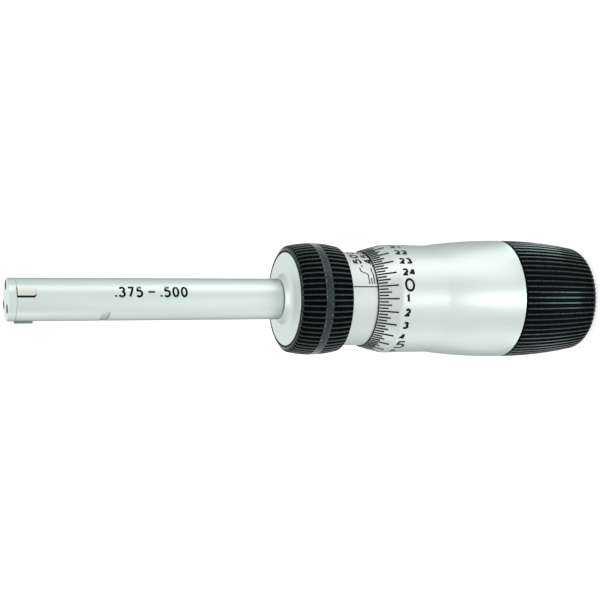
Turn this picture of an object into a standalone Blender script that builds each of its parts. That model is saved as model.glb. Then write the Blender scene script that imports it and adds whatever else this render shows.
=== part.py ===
"""Three-point inside micrometer, standing on its ratchet cap with the measuring tip up.

Lengths are in metres. The tool's axis is the Z axis and heights start at the cap's end
face. The front of the tool, where the sleeve carries its datum line, faces -Y.
"""
import math

import bmesh
import bpy
from mathutils import Matrix, Vector

# Measuring range, and the bore size that the tool is set to
BORE_MIN = 0.009525
BORE_MAX = 0.0127
READING = 0.010795
# An anvil moves out by this share of the cone's travel
RAMP = 0.5

# Play between pieces that are screwed or pressed together, and between faces that meet
FIT = 0.0001
SEAT_GAP = 0.00012
# Play of pieces that slide or turn in one another
RUNNING_GAP = 0.00012

# Lengths along the tool, from the cap's end to the tip
CAP_LENGTH = 0.0218
THIMBLE_LENGTH = 0.03638
SLEEVE_SHOWN = 0.00656
COLLAR_LENGTH = 0.01214
BOSS_HEIGHT = 0.00178
TUBE_LENGTH = 0.05886
PLATE_THICKNESS = 0.00182

# Head tube
TUBE_RADIUS = 0.00465
TUBE_BORE = 0.00275
SHANK_RADIUS = 0.0037
SHANK_LENGTH = 0.007
NOTCH_WIDTH = 0.00202
NOTCH_DEPTH = 0.0007
NOTCH_FROM_END = 0.0188
NOTCH_ANGLE = -65

# Anvils, and the slots that guide them
ANVIL_ANGLES = (22, 142, 262)
ANVIL_LENGTH = 0.00386
ANVIL_WIDTH = 0.0022
ANVIL_CORNER = 0.0006
ANVIL_CORNER_STEPS = 4
ANVIL_DEPTH = 0.0024
CONTACT_RADIUS = 0.0043
FOOT_WIDTH = 0.0011
FOOT_LENGTH = 0.0026
FOOT_DROP = 0.00055
FOOT_PLAY = 0.0001

# Expander cone and push rod
CONE_TIP_SPACE = 0.0003
CONE_SKIRT = 0.0026
ROD_RADIUS = 0.0015
ROD_STUB_RADIUS = 0.00095
ROD_STUB_LENGTH = 0.0032
ROD_HEAD_RADIUS = 0.0024
ROD_HEAD_LENGTH = 0.005
BALL_RADIUS = 0.0013
BUSH_LENGTH = 0.007
BUSH_FROM_HEAD_BORE = 0.0012

# Nose plate and its screws
PLATE_CHAMFER = 0.0002
PLATE_SKIN = 0.00065
SCREW_CIRCLE = 0.00315
SCREW_HEAD_RADIUS = 0.00095
SCREW_HEAD_HEIGHT = 0.0006
SCREW_SINK = 0.0004
SCREW_THREAD_RADIUS = 0.00045
SCREW_REACH = 0.0010
SCREW_SLOT = 0.0003

# Front housing: boss, flange and hub
BOSS_TOP_RADIUS = 0.005
BOSS_FOOT_RADIUS = 0.00595
FLANGE_THICKNESS = 0.002
FLANGE_EDGE = 0.0001
HUB_REACH = 0.0045
CHAMBER_RADIUS = 0.0044
BOSS_HOLLOW = 0.0001

# Grip collar
# The collar's crown stands proud of the sleeve, and of the flange set in its face
COLLAR_RISE = 0.002
COLLAR_FACE_WIDTH = 0.0022
COLLAR_CROWN_BELOW_FACE = 0.0063
COLLAR_CROWN_SWEEP = 0.0244
COLLAR_FRONT_CHAMFER = 0.00065
COLLAR_FRONT_DROP = 0.00095
COLLAR_REAR_CHAMFER = 0.00045
COLLAR_REAR_DROP = 0.0004
COLLAR_PLAIN_BAND = 0.00198
COLLAR_PLAIN_CENTRE = 0.0062
COLLAR_FLUTES = 62
FLUTE_DEPTH = 0.00045
FLUTE_FLOOR = 0.55
FLUTE_RUN_IN = 0.0006
FLUTE_RUN_OUT = 0.00015

# Sleeve and inner barrel
SLEEVE_RADIUS = 0.01088
SLEEVE_WALL = 0.0007
SLEEVE_LENGTH = 0.0205
BARREL_LENGTH = 0.0232
BARREL_WALL = 0.00158

# Measuring nut, its adjusting ring and the spindle
NUT_RADIUS = 0.005
NUT_SINK = 0.0035
NUT_TAIL = 0.0045
NUT_SLIT = 0.0006
NUT_SLIT_LENGTH = 0.008
NUT_SLIT_ANGLES = (22, 142, 262)
RING_RADIUS = 0.0066
SPINDLE_RADIUS = 0.00315
SPINDLE_RUN = 0.00015
TAPER_TOP_RADIUS = 0.0042
TAPER_FOOT_RADIUS = 0.0034

# Return spring and its seat
RETURN_SEAT_HEIGHT = 0.0063
RETURN_SEAT_THICKNESS = 0.0011
RETURN_SEAT_RADIUS = 0.0039
RETURN_WIRE = 0.0003
RETURN_COIL_RADIUS = 0.0031
RETURN_TURNS = 4

# Thimble
THIMBLE_EDGE_WALL = 0.00017
THIMBLE_CONE = 0.00528
# The thimble's cylinder stands proud of the sleeve, and the cap of that cylinder
THIMBLE_RISE = 0.00182
CAP_RISE = 0.00144
THIMBLE_SHOULDER_AT = 0.017
THIMBLE_SHOULDER = 0.0005
THIMBLE_STEP = 0.00022
THIMBLE_STEPS = 5
WEB_FOOT = 0.0022
WEB_THICKNESS = 0.0053
SPIGOT_LENGTH = 0.0022
SPIGOT_WALL = 0.0025

# Ratchet stem, discs, spring and screw
STEM_THREAD_RADIUS = 0.0016
STEM_THREAD_LENGTH = 0.010
STEM_FLANGE_RADIUS = 0.0055
STEM_FLANGE_THICKNESS = 0.002
STEM_RADIUS = 0.0022
DISC_RADIUS = 0.0065
DISC_THICKNESS = 0.0025
DISC_PLAY = 0.00036
TEETH = 10
TOOTH_DEPTH = 0.0007
TOOTH_START = 0.0036
KEY_WIDTH = 0.0022
KEY_REACH = 0.0012
RATCHET_WIRE = 0.00035
RATCHET_COIL_RADIUS = 0.0046
RATCHET_TURNS = 3
CAP_SCREW_HEAD_RADIUS = 0.0034
CAP_SCREW_HEAD_HEIGHT = 0.0024
CAP_SCREW_RADIUS = 0.00095
CAP_SCREW_LENGTH = 0.006
CAP_SCREW_SLOT = 0.0009

# Ratchet cap
CAP_WALL = 0.00202
# How far the thimble's foot lies inside the cap's ribs
FOOT_STEP = 0.00001
CAP_CROWN_BELOW_RIM = 0.00204
CAP_SWEEP = 0.0965
CAP_CORNER_LENGTH = 0.00268
CAP_CORNER_DROP = 0.00344
CAP_RIM = 0.0006
CAP_RIBS = 66
RIB_DEPTH = 0.00045
RIB_FLOOR = 0.6
CAP_SIDE_STEPS = 2
CAP_CORNER_STEPS = 3
CAP_WEB_TOP = 0.009
CAP_SCREW_WELL = 0.0045
CAP_SCREW_WELL_RADIUS = 0.004

# Facets round the large and the small turned pieces, the springs and the ball
FINE_STEPS = 34
COARSE_STEPS = 18
SCREW_STEPS = 10
COIL_STEPS = 8
BALL_STEPS = 12
SHARP_ANGLE = 32

# Heights and radii worked out from the sizes above
THIMBLE_BOTTOM = CAP_LENGTH + SEAT_GAP
THIMBLE_TOP = THIMBLE_BOTTOM + THIMBLE_LENGTH
COLLAR_BOTTOM = THIMBLE_TOP + SLEEVE_SHOWN
FACE = COLLAR_BOTTOM + COLLAR_LENGTH
BOSS_TOP = FACE + BOSS_HEIGHT
TUBE_BOTTOM = BOSS_TOP + SEAT_GAP
TUBE_TOP = TUBE_BOTTOM + TUBE_LENGTH
PLATE_BOTTOM = TUBE_TOP + SEAT_GAP
TIP = PLATE_BOTTOM + PLATE_THICKNESS
SHANK_BOTTOM = TUBE_BOTTOM - SHANK_LENGTH
HUB_BOTTOM = COLLAR_BOTTOM - HUB_REACH
BARREL_TOP = COLLAR_BOTTOM - SEAT_GAP
BARREL_BOTTOM = BARREL_TOP - BARREL_LENGTH
NUT_TOP = HUB_BOTTOM - NUT_SINK
NUT_BOTTOM = BARREL_BOTTOM - NUT_TAIL
WEB_BOTTOM = THIMBLE_BOTTOM + WEB_FOOT
WEB_TOP = WEB_BOTTOM + WEB_THICKNESS
SPIGOT_BOTTOM = THIMBLE_BOTTOM - SPIGOT_LENGTH

# How far the cone can go from where it is set, and what follows from that
TRAVEL_UP = (BORE_MAX - READING) / 2 / RAMP
TRAVEL_DOWN = (READING - BORE_MIN) / 2 / RAMP
FOOT_TOP = TUBE_TOP - FOOT_DROP
FOOT_BOTTOM = FOOT_TOP - FOOT_LENGTH
FOOT_INNER = FOOT_WIDTH / 2 / math.sqrt(3) + FOOT_PLAY + RAMP * TRAVEL_DOWN
CONE_RADIUS = FOOT_INNER + RAMP * (FOOT_LENGTH + TRAVEL_UP) - RUNNING_GAP
HEAD_BORE = CONE_RADIUS + RUNNING_GAP + FIT
CONE_TIP = FOOT_TOP - CONE_TIP_SPACE
SPINDLE_TOP = NUT_TOP + RUNNING_GAP
BALL_HEIGHT = SPINDLE_TOP + FIT + BALL_RADIUS
ROD_BOTTOM = BALL_HEIGHT - BALL_RADIUS / 2
RETURN_SEAT_BOTTOM = ROD_BOTTOM + RETURN_SEAT_HEIGHT
RETURN_SEAT_TOP = RETURN_SEAT_BOTTOM + RETURN_SEAT_THICKNESS
SLEEVE_BORE = SLEEVE_RADIUS - SLEEVE_WALL
HUB_RADIUS = SLEEVE_BORE - BARREL_WALL - 2 * FIT
COLLAR_CROWN_RADIUS = SLEEVE_RADIUS + COLLAR_RISE
FLANGE_RADIUS = COLLAR_CROWN_RADIUS - COLLAR_FACE_WIDTH
THIMBLE_RADIUS = SLEEVE_RADIUS + THIMBLE_RISE
CAP_RADIUS = THIMBLE_RADIUS + CAP_RISE
THIMBLE_FOOT_RADIUS = CAP_RADIUS - FOOT_STEP
SPIGOT_RADIUS = CAP_RADIUS - CAP_WALL - RUNNING_GAP
RECESS_RADIUS = SPIGOT_RADIUS - SPIGOT_WALL
THIMBLE_BORE = SLEEVE_RADIUS + RUNNING_GAP
STEM_FLANGE_BOTTOM = WEB_BOTTOM - SEAT_GAP - STEM_FLANGE_THICKNESS
RATCHET_DISC_TOP = STEM_FLANGE_BOTTOM - SEAT_GAP
RATCHET_DISC_BOTTOM = RATCHET_DISC_TOP - DISC_THICKNESS
CLUTCH_DISC_TOP = RATCHET_DISC_BOTTOM - RUNNING_GAP
CLUTCH_DISC_BOTTOM = CLUTCH_DISC_TOP - DISC_THICKNESS
STEM_BOTTOM = CAP_SCREW_WELL + FIT


def cone_surface(height):
    """Radius of the expander cone at a height, at the set reading."""
    return FOOT_INNER - RUNNING_GAP + RAMP * (FOOT_TOP - height)


def clear_scene():
    for thing in list(bpy.data.objects):
        bpy.data.objects.remove(thing, do_unlink=True)


def new_collection(name):
    collection = bpy.data.collections.new(name)
    bpy.context.scene.collection.children.link(collection)
    return collection


def principled(name, color, roughness, metallic):
    """A material with the piece's colour, roughness and metallic value."""
    material = bpy.data.materials.new(name)
    material.use_nodes = True
    shader = material.node_tree.nodes["Principled BSDF"]
    shader.inputs["Base Color"].default_value = (*color, 1.0)
    shader.inputs["Roughness"].default_value = roughness
    shader.inputs["Metallic"].default_value = metallic
    return material


clear_scene()
PARTS = new_collection("inside_micrometer")
CUTTERS = new_collection("cutters")

SATIN_CHROME = principled("satin_chrome", (0.66, 0.69, 0.68), 0.38, 1.0)
SATIN_STEEL = principled("satin_steel", (0.62, 0.65, 0.64), 0.35, 1.0)
BRIGHT_STEEL = principled("bright_steel", (0.68, 0.69, 0.70), 0.2, 1.0)
HARD_ALLOY = principled("hard_alloy", (0.6, 0.63, 0.63), 0.3, 1.0)
BLACK_GRIP = principled("black_grip", (0.018, 0.021, 0.021), 0.5, 0.0)
BRONZE = principled("bronze", (0.55, 0.38, 0.18), 0.35, 1.0)
SPRING_STEEL = principled("spring_steel", (0.42, 0.43, 0.45), 0.3, 1.0)


def smooth(mesh):
    mesh.shade_smooth()
    mesh.set_sharp_from_angle(angle=math.radians(SHARP_ANGLE))


def place(thing, material=None, cutter=False):
    """Put an object in its collection, and give it its material or mark it as a cutter."""
    if cutter:
        CUTTERS.objects.link(thing)
        thing.hide_render = True
        thing.display_type = "WIRE"
    else:
        PARTS.objects.link(thing)
    if material:
        thing.data.materials.append(material)
    return thing


def settled(thing):
    """The mesh that an object's modifiers or curve give, with the object removed."""
    graph = bpy.context.evaluated_depsgraph_get()
    mesh = bpy.data.meshes.new_from_object(thing.evaluated_get(graph))
    mesh.transform(thing.matrix_world)
    bpy.data.objects.remove(thing, do_unlink=True)
    bm = bmesh.new()
    bm.from_mesh(mesh)
    bmesh.ops.remove_doubles(bm, verts=bm.verts, dist=1e-7)
    bm.to_mesh(mesh)
    bm.free()
    return mesh


def turned(name, outline, material=None, steps=COARSE_STEPS, cutter=False):
    """Turn an outline of (radius, height) points, listed down the outer side, round the axis.

    An outline that ends on the axis makes a solid piece, and any other is closed to a ring.
    """
    mesh = bpy.data.meshes.new(name)
    points = [(radius, 0.0, height) for radius, height in outline]
    edges = [(index, index + 1) for index in range(len(points) - 1)]
    if outline[0][0] > 0:
        edges.append((len(points) - 1, 0))
    mesh.from_pydata(points, edges, [])
    profile = place(bpy.data.objects.new(name + "_profile", mesh), cutter=True)
    screw = profile.modifiers.new("turn", "SCREW")
    screw.axis = "Z"
    screw.angle = 2 * math.pi
    screw.steps = steps
    screw.render_steps = steps
    screw.use_merge_vertices = True
    screw.merge_threshold = 1e-7
    solid = settled(profile)
    solid.name = name
    smooth(solid)
    return place(bpy.data.objects.new(name, solid), material, cutter)


def slab(name, outline, thickness, matrix, cutter=True):
    """A flat outline extruded to a thickness about its own plane, then set by a matrix."""
    curve = bpy.data.curves.new(name, "CURVE")
    curve.dimensions = "2D"
    curve.fill_mode = "BOTH"
    curve.extrude = thickness / 2
    spline = curve.splines.new("POLY")
    spline.points.add(len(outline) - 1)
    for point, (x, y) in zip(spline.points, outline):
        point.co = (x, y, 0.0, 1.0)
    spline.use_cyclic_u = True
    flat = place(bpy.data.objects.new(name + "_outline", curve), cutter=True)
    bpy.context.view_layer.update()
    mesh = settled(flat)
    mesh.name = name
    mesh.transform(matrix)
    return place(bpy.data.objects.new(name, mesh), cutter=cutter)


def block(name, size, matrix):
    """A box cutter about its centre, set by a matrix."""
    bm = bmesh.new()
    bmesh.ops.create_cube(bm, size=1.0)
    bmesh.ops.scale(bm, vec=Vector(size), verts=bm.verts)
    mesh = bpy.data.meshes.new(name)
    bm.to_mesh(mesh)
    bm.free()
    mesh.transform(matrix)
    return place(bpy.data.objects.new(name, mesh), cutter=True)


def combine(thing, tool, operation="DIFFERENCE"):
    boolean = thing.modifiers.new(tool.name, "BOOLEAN")
    boolean.operation = operation
    boolean.solver = "EXACT"
    boolean.object = tool


def facing(angle):
    """Turn about the axis that takes +X to an angle from the front, counted towards +X."""
    return Matrix.Rotation(math.radians(angle - 90), 4, "Z")


def lofted(name, stations, count, floor_share, material):
    """A ring of ridges lofted down the axis.

    Each station is (height, radius, depth). Ridges reach the radius, and the flat floor
    between two of them, a share of the pitch wide, lies the depth below it.
    """
    bm = bmesh.new()
    pitch = 2 * math.pi / count
    rings = []
    for height, radius, depth in stations:
        ring = []
        for index in range(count):
            crest = index * pitch
            floor = (radius - depth, crest + pitch * (1 - floor_share) / 2)
            far_floor = (radius - depth, crest + pitch * (1 + floor_share) / 2)
            for reach, angle in ((radius, crest), floor, far_floor):
                ring.append(bm.verts.new((reach * math.cos(angle), reach * math.sin(angle), height)))
        rings.append(ring)
    for upper, lower in zip(rings, rings[1:]):
        for index in range(len(upper)):
            after = (index + 1) % len(upper)
            bm.faces.new((upper[index], lower[index], lower[after], upper[after]))
    bm.faces.new(rings[0])
    bm.faces.new(list(reversed(rings[-1])))
    bmesh.ops.recalc_face_normals(bm, faces=bm.faces)
    mesh = bpy.data.meshes.new(name)
    bm.to_mesh(mesh)
    bm.free()
    smooth(mesh)
    return place(bpy.data.objects.new(name, mesh), material)


def coil(name, bottom, top, coil_radius, wire_radius, turns, material):
    """A round-wire compression spring between two heights."""
    curve = bpy.data.curves.new(name, "CURVE")
    curve.dimensions = "3D"
    curve.bevel_depth = wire_radius
    curve.bevel_resolution = 2
    curve.use_fill_caps = True
    spline = curve.splines.new("POLY")
    count = COIL_STEPS * turns + 1
    spline.points.add(count - 1)
    low = bottom + wire_radius + SEAT_GAP
    high = top - wire_radius - SEAT_GAP
    for index, point in enumerate(spline.points):
        angle = 2 * math.pi * index / COIL_STEPS
        height = low + (high - low) * index / (count - 1)
        point.co = (coil_radius * math.cos(angle), coil_radius * math.sin(angle), height, 1.0)
    return place(bpy.data.objects.new(name, curve), material)


def pad_outline(width, bottom, top, corner):
    """The anvil's face seen along its travel: square at the tip end, rounded at the other."""
    half = width / 2
    left = []
    right = []
    for step in range(ANVIL_CORNER_STEPS + 1):
        turn = math.pi / 2 * step / ANVIL_CORNER_STEPS
        left.append((-half + corner * (1 - math.cos(turn)), bottom + corner * (1 - math.sin(turn))))
        right.append((half - corner * (1 - math.sin(turn)), bottom + corner * (1 - math.cos(turn))))
    return [(-half, top)] + left + right + [(half, top)]


def along_radius(inner, outer):
    """Matrix that stands a slab's plane across the radius, midway between two radii."""
    turn = Matrix(((0, 0, 1, 0), (1, 0, 0, 0), (0, 1, 0, 0), (0, 0, 0, 1)))
    return Matrix.Translation(((inner + outer) / 2, 0, 0)) @ turn


def anvil_mesh():
    """One anvil on the +X side: a rounded pad, and a narrow foot with the ramp."""
    contact = READING / 2
    inner = contact - ANVIL_DEPTH
    bottom = TUBE_TOP - ANVIL_LENGTH
    outline = pad_outline(ANVIL_WIDTH, bottom, TUBE_TOP, ANVIL_CORNER)
    pad = slab("anvil_pad", outline, ANVIL_DEPTH, along_radius(inner, contact))
    foot_root = inner + ANVIL_DEPTH / 4
    foot_outline = (
        (foot_root, FOOT_TOP),
        (FOOT_INNER, FOOT_TOP),
        (FOOT_INNER + RAMP * FOOT_LENGTH, FOOT_BOTTOM),
        (foot_root, FOOT_BOTTOM),
    )
    foot = slab("anvil_foot", foot_outline, FOOT_WIDTH, Matrix.Rotation(math.pi / 2, 4, "X"))
    crown = turned("anvil_crown", ((0, TIP), (CONTACT_RADIUS, TIP),
                                   (CONTACT_RADIUS, bottom - FIT), (0, bottom - FIT)),
                   steps=COARSE_STEPS * 2, cutter=True)
    crown.location.x = contact - CONTACT_RADIUS
    combine(pad, foot, "UNION")
    combine(pad, crown, "INTERSECT")
    bpy.context.view_layer.update()
    mesh = settled(pad)
    mesh.name = "anvil"
    mesh.materials.append(HARD_ALLOY)
    return mesh


def anvils():
    mesh = anvil_mesh()
    made = []
    for number, angle in enumerate(ANVIL_ANGLES, 1):
        anvil = place(bpy.data.objects.new(f"anvil_{number}", mesh))
        anvil.rotation_euler.z = math.radians(angle - 90)
        made.append(anvil)
    return made


def screw_angles():
    """The nose screws sit midway between the anvils."""
    return [angle + 60 for angle in ANVIL_ANGLES]


def head_tube():
    cone_mouth = cone_surface(TUBE_TOP) + RAMP * TRAVEL_UP + RUNNING_GAP + FIT
    mouth_foot = TUBE_TOP - (HEAD_BORE - cone_mouth) / RAMP
    bore_floor = cone_base() - TRAVEL_DOWN - SEAT_GAP
    tube = turned("head_tube", (
        (TUBE_RADIUS, TUBE_TOP),
        (TUBE_RADIUS, TUBE_BOTTOM),
        (SHANK_RADIUS, TUBE_BOTTOM),
        (SHANK_RADIUS, SHANK_BOTTOM),
        (TUBE_BORE, SHANK_BOTTOM),
        (TUBE_BORE, bore_floor),
        (HEAD_BORE, bore_floor),
        (HEAD_BORE, mouth_foot),
        (cone_mouth, TUBE_TOP),
    ), SATIN_STEEL, FINE_STEPS)
    slot_bottom = TUBE_TOP - ANVIL_LENGTH - RUNNING_GAP
    slot_top = TIP
    outline = pad_outline(ANVIL_WIDTH + 2 * RUNNING_GAP, slot_bottom, slot_top, ANVIL_CORNER)
    inner = FOOT_INNER
    outer = BORE_MAX
    for number, angle in enumerate(ANVIL_ANGLES, 1):
        slot = slab(f"anvil_slot_{number}", outline, outer - inner,
                    facing(angle) @ along_radius(inner, outer))
        combine(tube, slot)
    hole_radius = SCREW_THREAD_RADIUS + FIT / 2
    hole_depth = SCREW_REACH + FIT
    for number, angle in enumerate(screw_angles(), 1):
        hole = turned(f"screw_hole_{number}", (
            (0, TIP), (hole_radius, TIP),
            (hole_radius, TUBE_TOP - hole_depth), (0, TUBE_TOP - hole_depth)), steps=SCREW_STEPS, cutter=True)
        hole.location = facing(angle) @ Vector((SCREW_CIRCLE, 0, 0))
        combine(tube, hole)
    reach = TUBE_RADIUS
    notch_middle = Vector((TUBE_RADIUS - NOTCH_DEPTH + reach / 2, 0, TUBE_TOP - NOTCH_FROM_END))
    notch = block("spanner_notch", (reach, 2 * TUBE_RADIUS, NOTCH_WIDTH),
                  facing(NOTCH_ANGLE) @ Matrix.Translation(notch_middle))
    combine(tube, notch)
    return tube


def cone_shoulder():
    """Height at which the cone reaches its full radius."""
    return FOOT_TOP - (CONE_RADIUS - FOOT_INNER + RUNNING_GAP) / RAMP


def cone_base():
    return cone_shoulder() - CONE_SKIRT


def expander_cone():
    base = cone_base()
    socket = ROD_STUB_RADIUS + FIT
    socket_top = base + ROD_STUB_LENGTH + FIT
    return turned("expander_cone", (
        (0, CONE_TIP),
        (cone_surface(CONE_TIP), CONE_TIP),
        (CONE_RADIUS, cone_shoulder()),
        (CONE_RADIUS, base),
        (socket, base),
        (socket, socket_top),
        (0, socket_top),
    ), BRIGHT_STEEL)


def push_rod():
    top = cone_base() - SEAT_GAP
    stub_top = cone_base() + ROD_STUB_LENGTH
    head_top = ROD_BOTTOM + ROD_HEAD_LENGTH
    pocket = BALL_RADIUS + RUNNING_GAP
    pocket_top = BALL_HEIGHT + BALL_RADIUS + FIT
    return turned("push_rod", (
        (0, stub_top),
        (ROD_STUB_RADIUS, stub_top),
        (ROD_STUB_RADIUS, top),
        (ROD_RADIUS, top),
        (ROD_RADIUS, head_top),
        (ROD_HEAD_RADIUS, head_top),
        (ROD_HEAD_RADIUS, ROD_BOTTOM),
        (pocket, ROD_BOTTOM),
        (pocket, pocket_top),
        (0, pocket_top),
    ), BRIGHT_STEEL)


def rod_guide_bush():
    top = cone_base() - TRAVEL_DOWN - SEAT_GAP - BUSH_FROM_HEAD_BORE
    return turned("rod_guide_bush", (
        (TUBE_BORE - FIT, top),
        (TUBE_BORE - FIT, top - BUSH_LENGTH),
        (ROD_RADIUS + RUNNING_GAP, top - BUSH_LENGTH),
        (ROD_RADIUS + RUNNING_GAP, top),
    ), BRONZE)


def return_seat():
    return turned("spring_seat", (
        (RETURN_SEAT_RADIUS, RETURN_SEAT_TOP),
        (RETURN_SEAT_RADIUS, RETURN_SEAT_BOTTOM),
        (ROD_RADIUS + FIT, RETURN_SEAT_BOTTOM),
        (ROD_RADIUS + FIT, RETURN_SEAT_TOP),
    ), BRIGHT_STEEL)


def thrust_ball():
    bm = bmesh.new()
    bmesh.ops.create_uvsphere(bm, u_segments=BALL_STEPS, v_segments=BALL_STEPS // 2, radius=BALL_RADIUS)
    mesh = bpy.data.meshes.new("thrust_ball")
    bm.to_mesh(mesh)
    bm.free()
    smooth(mesh)
    ball = place(bpy.data.objects.new("thrust_ball", mesh), BRIGHT_STEEL)
    ball.location.z = BALL_HEIGHT
    return ball


def nose_plate():
    recess_radius = cone_surface(TUBE_TOP) + RAMP * TRAVEL_UP + RUNNING_GAP + FIT
    recess_top = TIP - PLATE_SKIN
    plate = turned("nose_plate", (
        (0, TIP),
        (TUBE_RADIUS - PLATE_CHAMFER, TIP),
        (TUBE_RADIUS, TIP - PLATE_CHAMFER),
        (TUBE_RADIUS, PLATE_BOTTOM),
        (recess_radius, PLATE_BOTTOM),
        (recess_radius, recess_top),
        (0, recess_top),
    ), SATIN_STEEL, FINE_STEPS)
    head_radius = SCREW_HEAD_RADIUS + RUNNING_GAP
    head_floor = TIP - SCREW_SINK - SCREW_HEAD_HEIGHT - SEAT_GAP
    shank_radius = SCREW_THREAD_RADIUS + FIT
    above = TIP + PLATE_THICKNESS
    for number, angle in enumerate(screw_angles(), 1):
        well = turned(f"screw_well_{number}", (
            (0, above), (head_radius, above), (head_radius, head_floor),
            (shank_radius, head_floor), (shank_radius, TUBE_TOP), (0, TUBE_TOP),
        ), steps=SCREW_STEPS, cutter=True)
        well.location = facing(angle) @ Vector((SCREW_CIRCLE, 0, 0))
        combine(plate, well)
    return plate


def nose_screws():
    head_top = TIP - SCREW_SINK
    head_foot = head_top - SCREW_HEAD_HEIGHT
    thread_foot = TUBE_TOP - SCREW_REACH
    screw = turned("nose_screw", (
        (0, head_top), (SCREW_HEAD_RADIUS, head_top), (SCREW_HEAD_RADIUS, head_foot),
        (SCREW_THREAD_RADIUS, head_foot), (SCREW_THREAD_RADIUS, thread_foot), (0, thread_foot),
    ), steps=SCREW_STEPS)
    slot = block("nose_screw_slot", (4 * SCREW_HEAD_RADIUS, SCREW_SLOT, SCREW_SLOT),
                 Matrix.Translation((0, 0, head_top)))
    combine(screw, slot)
    bpy.context.view_layer.update()
    mesh = settled(screw)
    mesh.name = "nose_screw"
    mesh.materials.append(BRIGHT_STEEL)
    made = []
    for number, angle in enumerate(screw_angles(), 1):
        copy = place(bpy.data.objects.new(f"nose_screw_{number}", mesh))
        copy.location = facing(angle) @ Vector((SCREW_CIRCLE, 0, 0))
        copy.rotation_euler.z = math.radians(angle)
        made.append(copy)
    return made


def front_housing():
    """Boss, flange and hub, bored for the tube's shank and the return spring."""
    shank_bore = SHANK_RADIUS + FIT
    chamber_top = SHANK_BOTTOM + SEAT_GAP
    boss_middle = ((BOSS_TOP_RADIUS + BOSS_FOOT_RADIUS) / 2 - BOSS_HOLLOW, (BOSS_TOP + FACE) / 2)
    return turned("front_housing", (
        (BOSS_TOP_RADIUS, BOSS_TOP),
        boss_middle,
        (BOSS_FOOT_RADIUS, FACE),
        (FLANGE_RADIUS - FLANGE_EDGE, FACE),
        (FLANGE_RADIUS, FACE - FLANGE_EDGE),
        (FLANGE_RADIUS, FACE - FLANGE_THICKNESS),
        (HUB_RADIUS, FACE - FLANGE_THICKNESS),
        (HUB_RADIUS, HUB_BOTTOM),
        (CHAMBER_RADIUS, HUB_BOTTOM),
        (CHAMBER_RADIUS, chamber_top),
        (shank_bore, chamber_top),
        (shank_bore, BOSS_TOP),
    ), SATIN_CHROME, FINE_STEPS)


def collar_radius(below_face):
    """The collar's crowned outside, at a distance below its front face."""
    off_crown = below_face - COLLAR_CROWN_BELOW_FACE
    return COLLAR_CROWN_RADIUS - off_crown ** 2 / (2 * COLLAR_CROWN_SWEEP)


def grip_collar():
    """Crowned collar with two bands of flutes and a plain band between them."""
    band_start = COLLAR_PLAIN_CENTRE - COLLAR_PLAIN_BAND / 2
    band_end = COLLAR_PLAIN_CENTRE + COLLAR_PLAIN_BAND / 2
    rear = COLLAR_LENGTH - COLLAR_REAR_CHAMFER
    marks = (
        (COLLAR_FRONT_CHAMFER, 0),
        (COLLAR_FRONT_CHAMFER + FLUTE_RUN_IN, FLUTE_DEPTH),
        (band_start - FLUTE_RUN_OUT, FLUTE_DEPTH),
        (band_start, 0),
        (band_end, 0),
        (band_end + FLUTE_RUN_OUT, FLUTE_DEPTH),
        (rear, FLUTE_DEPTH),
    )
    front_radius = collar_radius(COLLAR_FRONT_CHAMFER) - COLLAR_FRONT_DROP
    rear_radius = collar_radius(rear) - COLLAR_REAR_DROP
    stations = [(FACE, front_radius, 0)]
    stations += [(FACE - down, collar_radius(down), depth) for down, depth in marks]
    stations += [(COLLAR_BOTTOM, rear_radius, 0)]
    collar = lofted("grip_collar", stations, COLLAR_FLUTES, FLUTE_FLOOR, BLACK_GRIP)
    seat = FACE - FLANGE_THICKNESS - SEAT_GAP
    above = FACE + FLANGE_THICKNESS
    below = COLLAR_BOTTOM - FLANGE_THICKNESS
    bore = turned("collar_bore", (
        (0, above), (FLANGE_RADIUS + FIT, above), (FLANGE_RADIUS + FIT, seat),
        (HUB_RADIUS + FIT, seat), (HUB_RADIUS + FIT, below), (0, below),
    ), steps=FINE_STEPS, cutter=True)
    combine(collar, bore)
    return collar


def sleeve():
    bottom = BARREL_TOP - SLEEVE_LENGTH
    return turned("sleeve", (
        (SLEEVE_RADIUS, BARREL_TOP),
        (SLEEVE_RADIUS, bottom),
        (SLEEVE_BORE, bottom),
        (SLEEVE_BORE, BARREL_TOP),
    ), SATIN_CHROME, FINE_STEPS)


def inner_barrel():
    """Tube that joins the hub, the sleeve and the measuring nut."""
    radius = SLEEVE_BORE - FIT
    floor = HUB_BOTTOM - SEAT_GAP
    return turned("inner_barrel", (
        (radius, BARREL_TOP),
        (radius, BARREL_BOTTOM),
        (NUT_RADIUS + FIT, BARREL_BOTTOM),
        (NUT_RADIUS + FIT, floor),
        (HUB_RADIUS + FIT, floor),
        (HUB_RADIUS + FIT, BARREL_TOP),
    ), SATIN_STEEL, FINE_STEPS)


def spindle_nut():
    """The measuring nut, slit at its tail so that the adjusting ring can close it."""
    nut = turned("spindle_nut", (
        (NUT_RADIUS, NUT_TOP),
        (NUT_RADIUS, NUT_BOTTOM),
        (SPINDLE_RADIUS + SPINDLE_RUN, NUT_BOTTOM),
        (SPINDLE_RADIUS + SPINDLE_RUN, NUT_TOP),
    ), BRONZE)
    for number, angle in enumerate(NUT_SLIT_ANGLES, 1):
        middle = Vector((NUT_RADIUS, 0, NUT_BOTTOM))
        slit = block(f"nut_slit_{number}", (2 * NUT_RADIUS, NUT_SLIT, 2 * NUT_SLIT_LENGTH),
                     facing(angle) @ Matrix.Translation(middle))
        combine(nut, slit)
    return nut


def adjusting_nut():
    top = BARREL_BOTTOM - SEAT_GAP
    bottom = NUT_BOTTOM + SEAT_GAP
    return turned("adjusting_nut", (
        (RING_RADIUS, top),
        (RING_RADIUS, bottom),
        (NUT_RADIUS + FIT, bottom),
        (NUT_RADIUS + FIT, top),
    ), BRIGHT_STEEL)


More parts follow.
